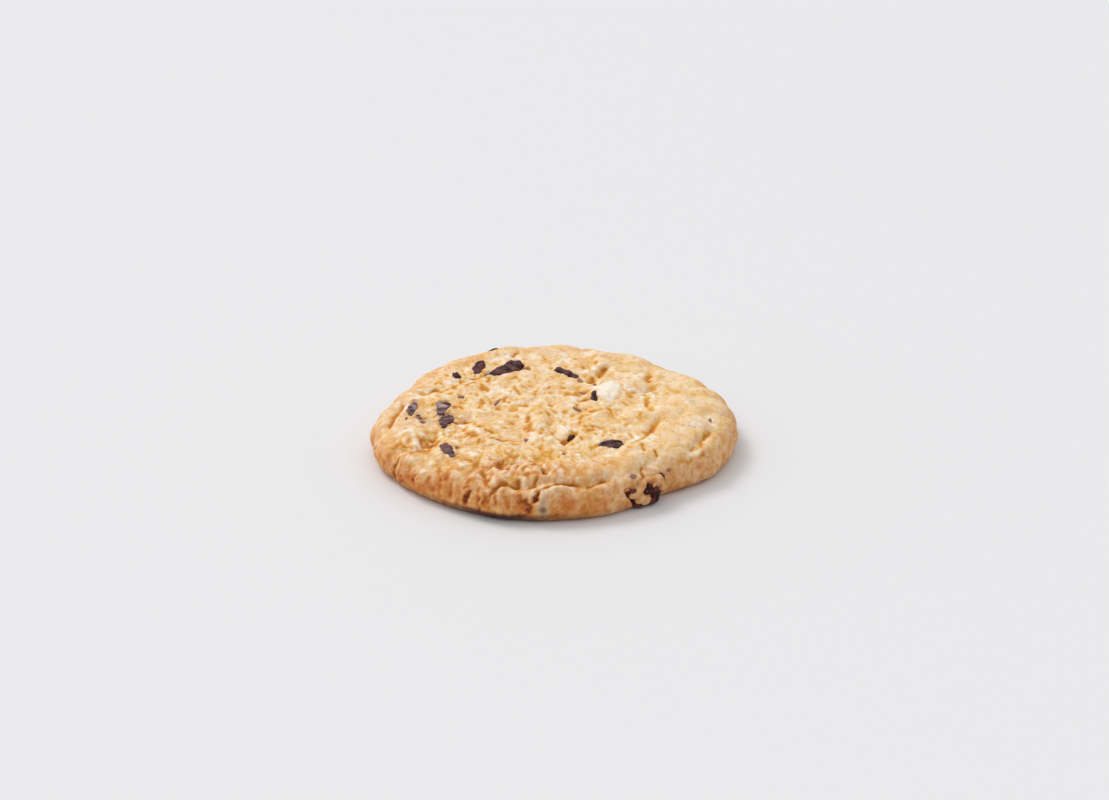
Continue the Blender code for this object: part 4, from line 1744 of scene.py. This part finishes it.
@dataclass(frozen=True)
class BakedDoughFinish:
    """Soft-baked dough: cream peaks, golden recesses that are partly painted shade, a browner rim and
    reddish specks.
    """

    # Both ramps run along the hollow value from the mesh: towards 1 darker and more golden, partly the
    # dough's own colour and partly painted shade.
    inner: Stops = (
        (0.0, colour(254, 243, 226)),
        (0.22, colour(244, 217, 178)),
        (0.5, colour(237, 196, 136)),
        (0.76, colour(229, 171, 70)),
        (1.0, colour(204, 128, 38)),
    )
    outer: Stops = (
        (0.0, colour(242, 192, 126)),
        (0.4, colour(221, 147, 70)),
        (0.7, colour(200, 106, 30)),
        (1.0, colour(134, 50, 16)),
    )
    # The colour of the painted shade at the foot of the front-left side, partly a browner baked edge.
    base: Colour = colour(66, 26, 30)
    speck: Colour = colour(196, 104, 56)
    freckle: Colour = colour(204, 112, 52)
    yellow_tint: Colour = (1.0, 1.03, 0.95)
    pink_tint: Colour = (1.01, 0.97, 1.06)
    stain: Colour = colour(150, 88, 66)
    thin_pale: Colour = colour(198, 174, 142)
    thin_dark: Colour = colour(124, 78, 76)
    # The darkest red-brown inside deep cracks and pits: partly browning, partly painted shade.
    split_and_shade: Colour = colour(84, 20, 8)
    freckle_share: float = 0.55
    speck_share: float = 0.3
    stain_share: float = 0.75
    thin_share: float = 0.85
    split_and_shade_share: float = 0.9
    base_and_shade_share: float = 0.95
    grain_size: float = 0.35
    pits: float = 0.5
    speck_size: float = 1.6
    specks: float = 0.3
    small_size: float = 0.9 * MM
    tint_size: float = 1.5 * MM
    unevenness: float = 0.08
    roughness: tuple[float, float] = (0.55, 0.85)
    specular: float = 0.35
    bump: float = 0.3
    bump_distance: float = 0.2 * MM
    glow: float = 0.2
    glow_radius: Point3 = (1.0, 0.45, 0.2)
    glow_reach: float = 1.2 * MM

    def colours(
        self, sheet: NodeSheet, small: Value, mottle: Value, specks: Value
    ) -> bpy.types.NodeSocket:
        """Writes the dough's colour.

        Args:
            sheet: the material's sheet.
            small: small noise.
            mottle: the grain's slow change.
            specks: where the specks are.

        Returns:
            The colour.
        """
        spread = (0.3, 0.7, -self.unevenness, self.unevenness)
        recess_tone_and_shade = sheet.maths("ADD", sheet.mask(Mask.RECESS_TONE_AND_SHADE), sheet.rise(small, *spread))
        recess_tone_and_shade = sheet.maths("ADD", recess_tone_and_shade, sheet.rise(mottle, *spread))
        shades = (sheet.ramp(recess_tone_and_shade, stops) for stops in (self.inner, self.outer))
        base = sheet.mix(sheet.mask(Mask.BROWNING), *shades)
        drift = sheet.rise(sheet.noise(sheet.place(), self.tint_size, 2.0), 0.4, 0.6)
        base = sheet.mix(1.0, base, sheet.mix(drift, self.yellow_tint, self.pink_tint), "MULTIPLY")
        thin = sheet.mix(sheet.rise(sheet.mask(Mask.THIN), 0.4, 1.1), self.thin_pale, self.thin_dark)
        layers = (
            (sheet.maths("MULTIPLY", sheet.mask(Mask.FRECKLE), self.freckle_share), self.freckle),
            (sheet.maths("MULTIPLY", specks, self.speck_share), self.speck),
            (sheet.maths("MULTIPLY", sheet.mask(Mask.SMEAR), self.stain_share), self.stain),
            (sheet.rise(sheet.mask(Mask.THIN), 0.0, 0.7, 0.0, self.thin_share), thin),
            (sheet.maths("MULTIPLY", sheet.mask(Mask.SPLIT), self.split_and_shade_share), self.split_and_shade),
            (sheet.maths("MULTIPLY", sheet.mask(Mask.BASE), self.base_and_shade_share), self.base),
        )
        for share, shade in layers:
            base = sheet.mix(share, base, shade)
        return base

    def build(self, effects: SurfaceEffects) -> bpy.types.Material:
        """Writes the finish.

        Args:
            effects: the shared node groups.

        Returns:
            The material.
        """
        material, sheet, shader = new_material("baked_dough_finish")
        grain = sheet.group(effects.grain, {"Grain Size": self.grain_size, "Pits": self.pits}).outputs
        scattered = {"Speck Size": self.speck_size, "Share": self.specks}
        specks = sheet.group(effects.specks, scattered).outputs["Mask"]
        small = sheet.noise(sheet.place(), self.small_size)
        inputs = {
            "Base Color": self.colours(sheet, small, grain["Mottle"], specks),
            "Roughness": sheet.rise(small, 0.2, 0.8, *self.roughness),
            "Normal": sheet.bump(grain["Height"], self.bump, self.bump_distance),
            "Specular IOR Level": self.specular,
            "Subsurface Weight": self.glow,
            "Subsurface Radius": self.glow_radius,
            "Subsurface Scale": self.glow_reach,
        }
        sheet.fill(shader, inputs)
        return material


@dataclass(frozen=True)
class ChocolateFinish:
    """Dark chocolate that has melted and set again, with greyish patches on some of its upward faces:
    partly the blooming of set chocolate, partly a painted sheen of the bright sky.
    """

    name: str = "chocolate_finish"
    dark: Colour = colour(50, 16, 16)
    warm: Colour = colour(104, 50, 46)
    # The grey of the tops: partly blooming, partly a painted sheen of the sky.
    bloom_and_sheen: Colour = colour(168, 156, 164)
    crumb: Colour = colour(206, 162, 124)
    crumbs: float = 0.0
    grain_size: float = 0.3
    pits: float = 0.3
    clouds: float = 0.35
    cloud_size: float = 1.4 * MM
    crumb_size: float = 2.4 * MM
    roughness: tuple[float, float] = (0.45, 0.7)
    specular: float = 0.15
    bump: float = 0.3
    bump_distance: float = 0.15 * MM

    def build(self, effects: SurfaceEffects) -> bpy.types.Material:
        """Writes the finish.

        Args:
            effects: the shared node groups.

        Returns:
            The material.
        """
        material, sheet, shader = new_material(self.name)
        grain = sheet.group(effects.grain, {"Grain Size": self.grain_size, "Pits": self.pits}).outputs
        where = sheet.place()
        # Darker where the mask's value is high: painted shade in the dents of a chunk, and each fleck's own
        # tone.
        base = sheet.mix(sheet.rise(sheet.mask(Mask.RECESS_TONE_AND_SHADE), 0.2, 0.8), self.warm, self.dark)
        cloud = sheet.rise(sheet.noise(where, self.cloud_size), 0.55, 0.75, 0.0, self.clouds)
        patches = sheet.rise(sheet.noise(where, self.crumb_size), 0.56, 0.64, 0.0, self.crumbs)
        layers = ((cloud, self.warm), (sheet.mask(Mask.BLOOM), self.bloom_and_sheen), (patches, self.crumb))
        for share, shade in layers:
            base = sheet.mix(share, base, shade)
        inputs = {
            "Base Color": base,
            "Roughness": sheet.rise(grain["Mottle"], 0.3, 0.7, *self.roughness),
            "Normal": sheet.bump(grain["Height"], self.bump, self.bump_distance),
            "Specular IOR Level": self.specular,
        }
        sheet.fill(shader, inputs)
        return material


COATED = ChocolateFinish("coated_chocolate_finish", colour(72, 26, 22), colour(188, 134, 116))
# Lighter and greyer than the plain chocolate, for the chunks at the left: partly dough dust, partly a
# painted sheen of the light they catch.
DUSTY_AND_SHEENED = ChocolateFinish("dusty_sheened_chocolate_finish", colour(74, 40, 42), colour(128, 84, 82), crumbs=0.7)


@dataclass(frozen=True)
class FloorFinish:
    """A plain pale floor."""

    shade: Colour = colour(232, 232, 234)
    roughness: float = 0.6
    specular: float = 0.2

    def build(self) -> bpy.types.Material:
        """Writes the finish.

        Returns:
            The material.
        """
        material, sheet, shader = new_material("floor_finish")
        inputs = {
            "Base Color": (*self.shade, 1.0),
            "Roughness": self.roughness,
            "Specular IOR Level": self.specular,
        }
        sheet.fill(shader, inputs)
        return material


# ---------------------------------------------------------------- the studio


@dataclass
class Studio:
    """The floor, the soft light and the camera."""

    floor_radius: float = 3.0
    floor_segments: int = 96
    elevation: float = 24.5
    distance: float = 1.13
    frame_width: float = 316.1 * MM
    aim: Point3 = (0.14 * MM, 30.1 * MM, 0.0)
    bright_side: Point3 = (-0.35, 0.45, 0.82)
    sky: tuple[float, float] = (0.26, 0.9)
    key_from: Point3 = (-0.55, 0.52, 0.84)
    key_angle: float = 24.0
    key_strength: float = 1.1

    def build(self) -> None:
        """Makes all of it."""
        self.make_floor()
        self.make_light()
        self.make_camera()
        bpy.context.scene.view_settings.view_transform = "Standard"

    def make_floor(self) -> None:
        """A wide round floor at the height that the cookie lies on."""
        shape = bmesh.new()
        sides = {"segments": self.floor_segments, "radius": self.floor_radius}
        bmesh.ops.create_circle(shape, cap_ends=True, **sides)
        floor = new_object("floor", mesh_from("floor", shape))
        floor.data.materials.append(FloorFinish().build())

    def make_light(self) -> None:
        """Soft light that is brightest above the back left, and one soft lamp from there."""
        world = bpy.data.worlds.new("studio")
        world.use_nodes = True
        sheet = NodeSheet(world.node_tree)
        way = sheet.put("ShaderNodeTexCoord", {}).outputs["Generated"]
        aligned = sheet.put("ShaderNodeVectorMath", {0: way, 1: self.bright_side}, operation="DOT_PRODUCT")
        darkest, brightest = self.sky
        inputs = {
            "Value": aligned.outputs["Value"],
            "From Min": -1.0,
            "To Min": darkest,
            "To Max": brightest,
        }
        background = world.node_tree.nodes["Background"]
        strength = sheet.put("ShaderNodeMapRange", inputs).outputs[0]
        sheet.fill(background, {"Color": (1.0, 1.0, 1.0, 1.0), "Strength": strength})
        bpy.context.scene.world = world
        lamp = bpy.data.lights.new("key", "SUN")
        lamp.angle = math.radians(self.key_angle)
        lamp.energy = self.key_strength
        key = new_object("key", lamp)
        key.location = self.key_from
        key.rotation_euler = (-Vector(self.key_from)).to_track_quat("-Z", "Y").to_euler()

    def make_camera(self) -> None:
        """A long lens that looks down on the cookie from the front."""
        data = bpy.data.cameras.new("camera")
        data.lens = data.sensor_width * self.distance / self.frame_width
        camera = new_object("camera", data)
        tilt = math.radians(self.elevation)
        back = Vector((0.0, -math.cos(tilt), math.sin(tilt)))
        camera.location = Vector(self.aim) + back * self.distance
        camera.rotation_euler = Euler((math.radians(90) - tilt, 0.0, 0.0))
        bpy.context.scene.camera = camera


# ---------------------------------------------------------------- the whole cookie


@dataclass(frozen=True)
class Chunks:
    """Which blocks of the model are chocolate, and how each one lies and looks.

    The chunks on the left are lighter and greyer, partly dough dust and partly a painted sheen, and have
    more dough smeared about them.
    """

    rim: str = "chunk_rim"
    reaches: tuple[tuple[str, float], ...] = (
        ("chunk_left", 0.35),
        ("chunk_left_inner", 0.35),
        ("chunk_middle", -0.4),
        ("chunk_front_left", -0.4),
    )
    # How grey each chunk's upward faces are: partly blooming, partly a painted sheen.
    bloom_and_sheen_shares: tuple[tuple[str, float], ...] = (
        ("chunk_left", 0.75),
        ("chunk_left_rim", 0.6),
        ("chunk_front_right", 0.1),
        ("chunk_front_left", 0.2),
        ("chunk_rim", 0.15),
    )
    wide_smear: float = 0.5

    def names(self) -> list[str]:
        """The blocks in the top, in the model's order."""
        return [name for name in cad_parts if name.startswith("chunk_") and name != self.rim]

    @staticmethod
    def on_left(name: str) -> bool:
        """Whether a block is one of those on the left."""
        return "left" in name

    def bed(self, name: str) -> Bed:
        """The hollow that a block in the top lies in."""
        smear = self.wide_smear if self.on_left(name) else Bed.smear
        return Bed(name, dict(self.reaches).get(name, Bed.reach), smear)

    def chunk(self, name: str) -> ChocolateChunk:
        """The chunk that a block becomes."""
        return ChocolateChunk(name, dict(self.bloom_and_sheen_shares).get(name, ChocolateChunk.bloom_and_sheen))


def report(piece: bpy.types.Object) -> bpy.types.Object:
    """Writes what a piece is made of to the log, and hands it back."""
    log.info("%s: %d vertices, %d faces", piece.name, len(piece.data.vertices), len(piece.data.polygons))
    return piece


def main() -> None:
    """Builds the studio and the cookie's looks, and logs how many vertices and faces each piece has."""
    logging.basicConfig(level=logging.INFO, format="%(message)s")
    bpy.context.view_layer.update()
    Studio().build()
    effects = SurfaceEffects()
    baked = BakedDoughFinish().build(effects)
    chocolate = ChocolateFinish().build(effects)
    coated = COATED.build(effects)
    dusty_and_sheened = DUSTY_AND_SHEENED.build(effects)

    chunks = Chunks()
    beds = [chunks.bed(name) for name in chunks.names()]
    dough = report(DoughRound(CookieForm()).build(baked, [*beds, Notch(chunks.rim)]))
    for name in chunks.names():
        report(chunks.chunk(name).build(dusty_and_sheened if chunks.on_left(name) else chocolate))
    rim_chunk = report(chunks.chunk(chunks.rim).build(chocolate))
    report(DoughFilm().build(rim_chunk, baked))
    report(ChocolateFlecks().build(dough, coated))


if __name__ == "__main__":
    main()
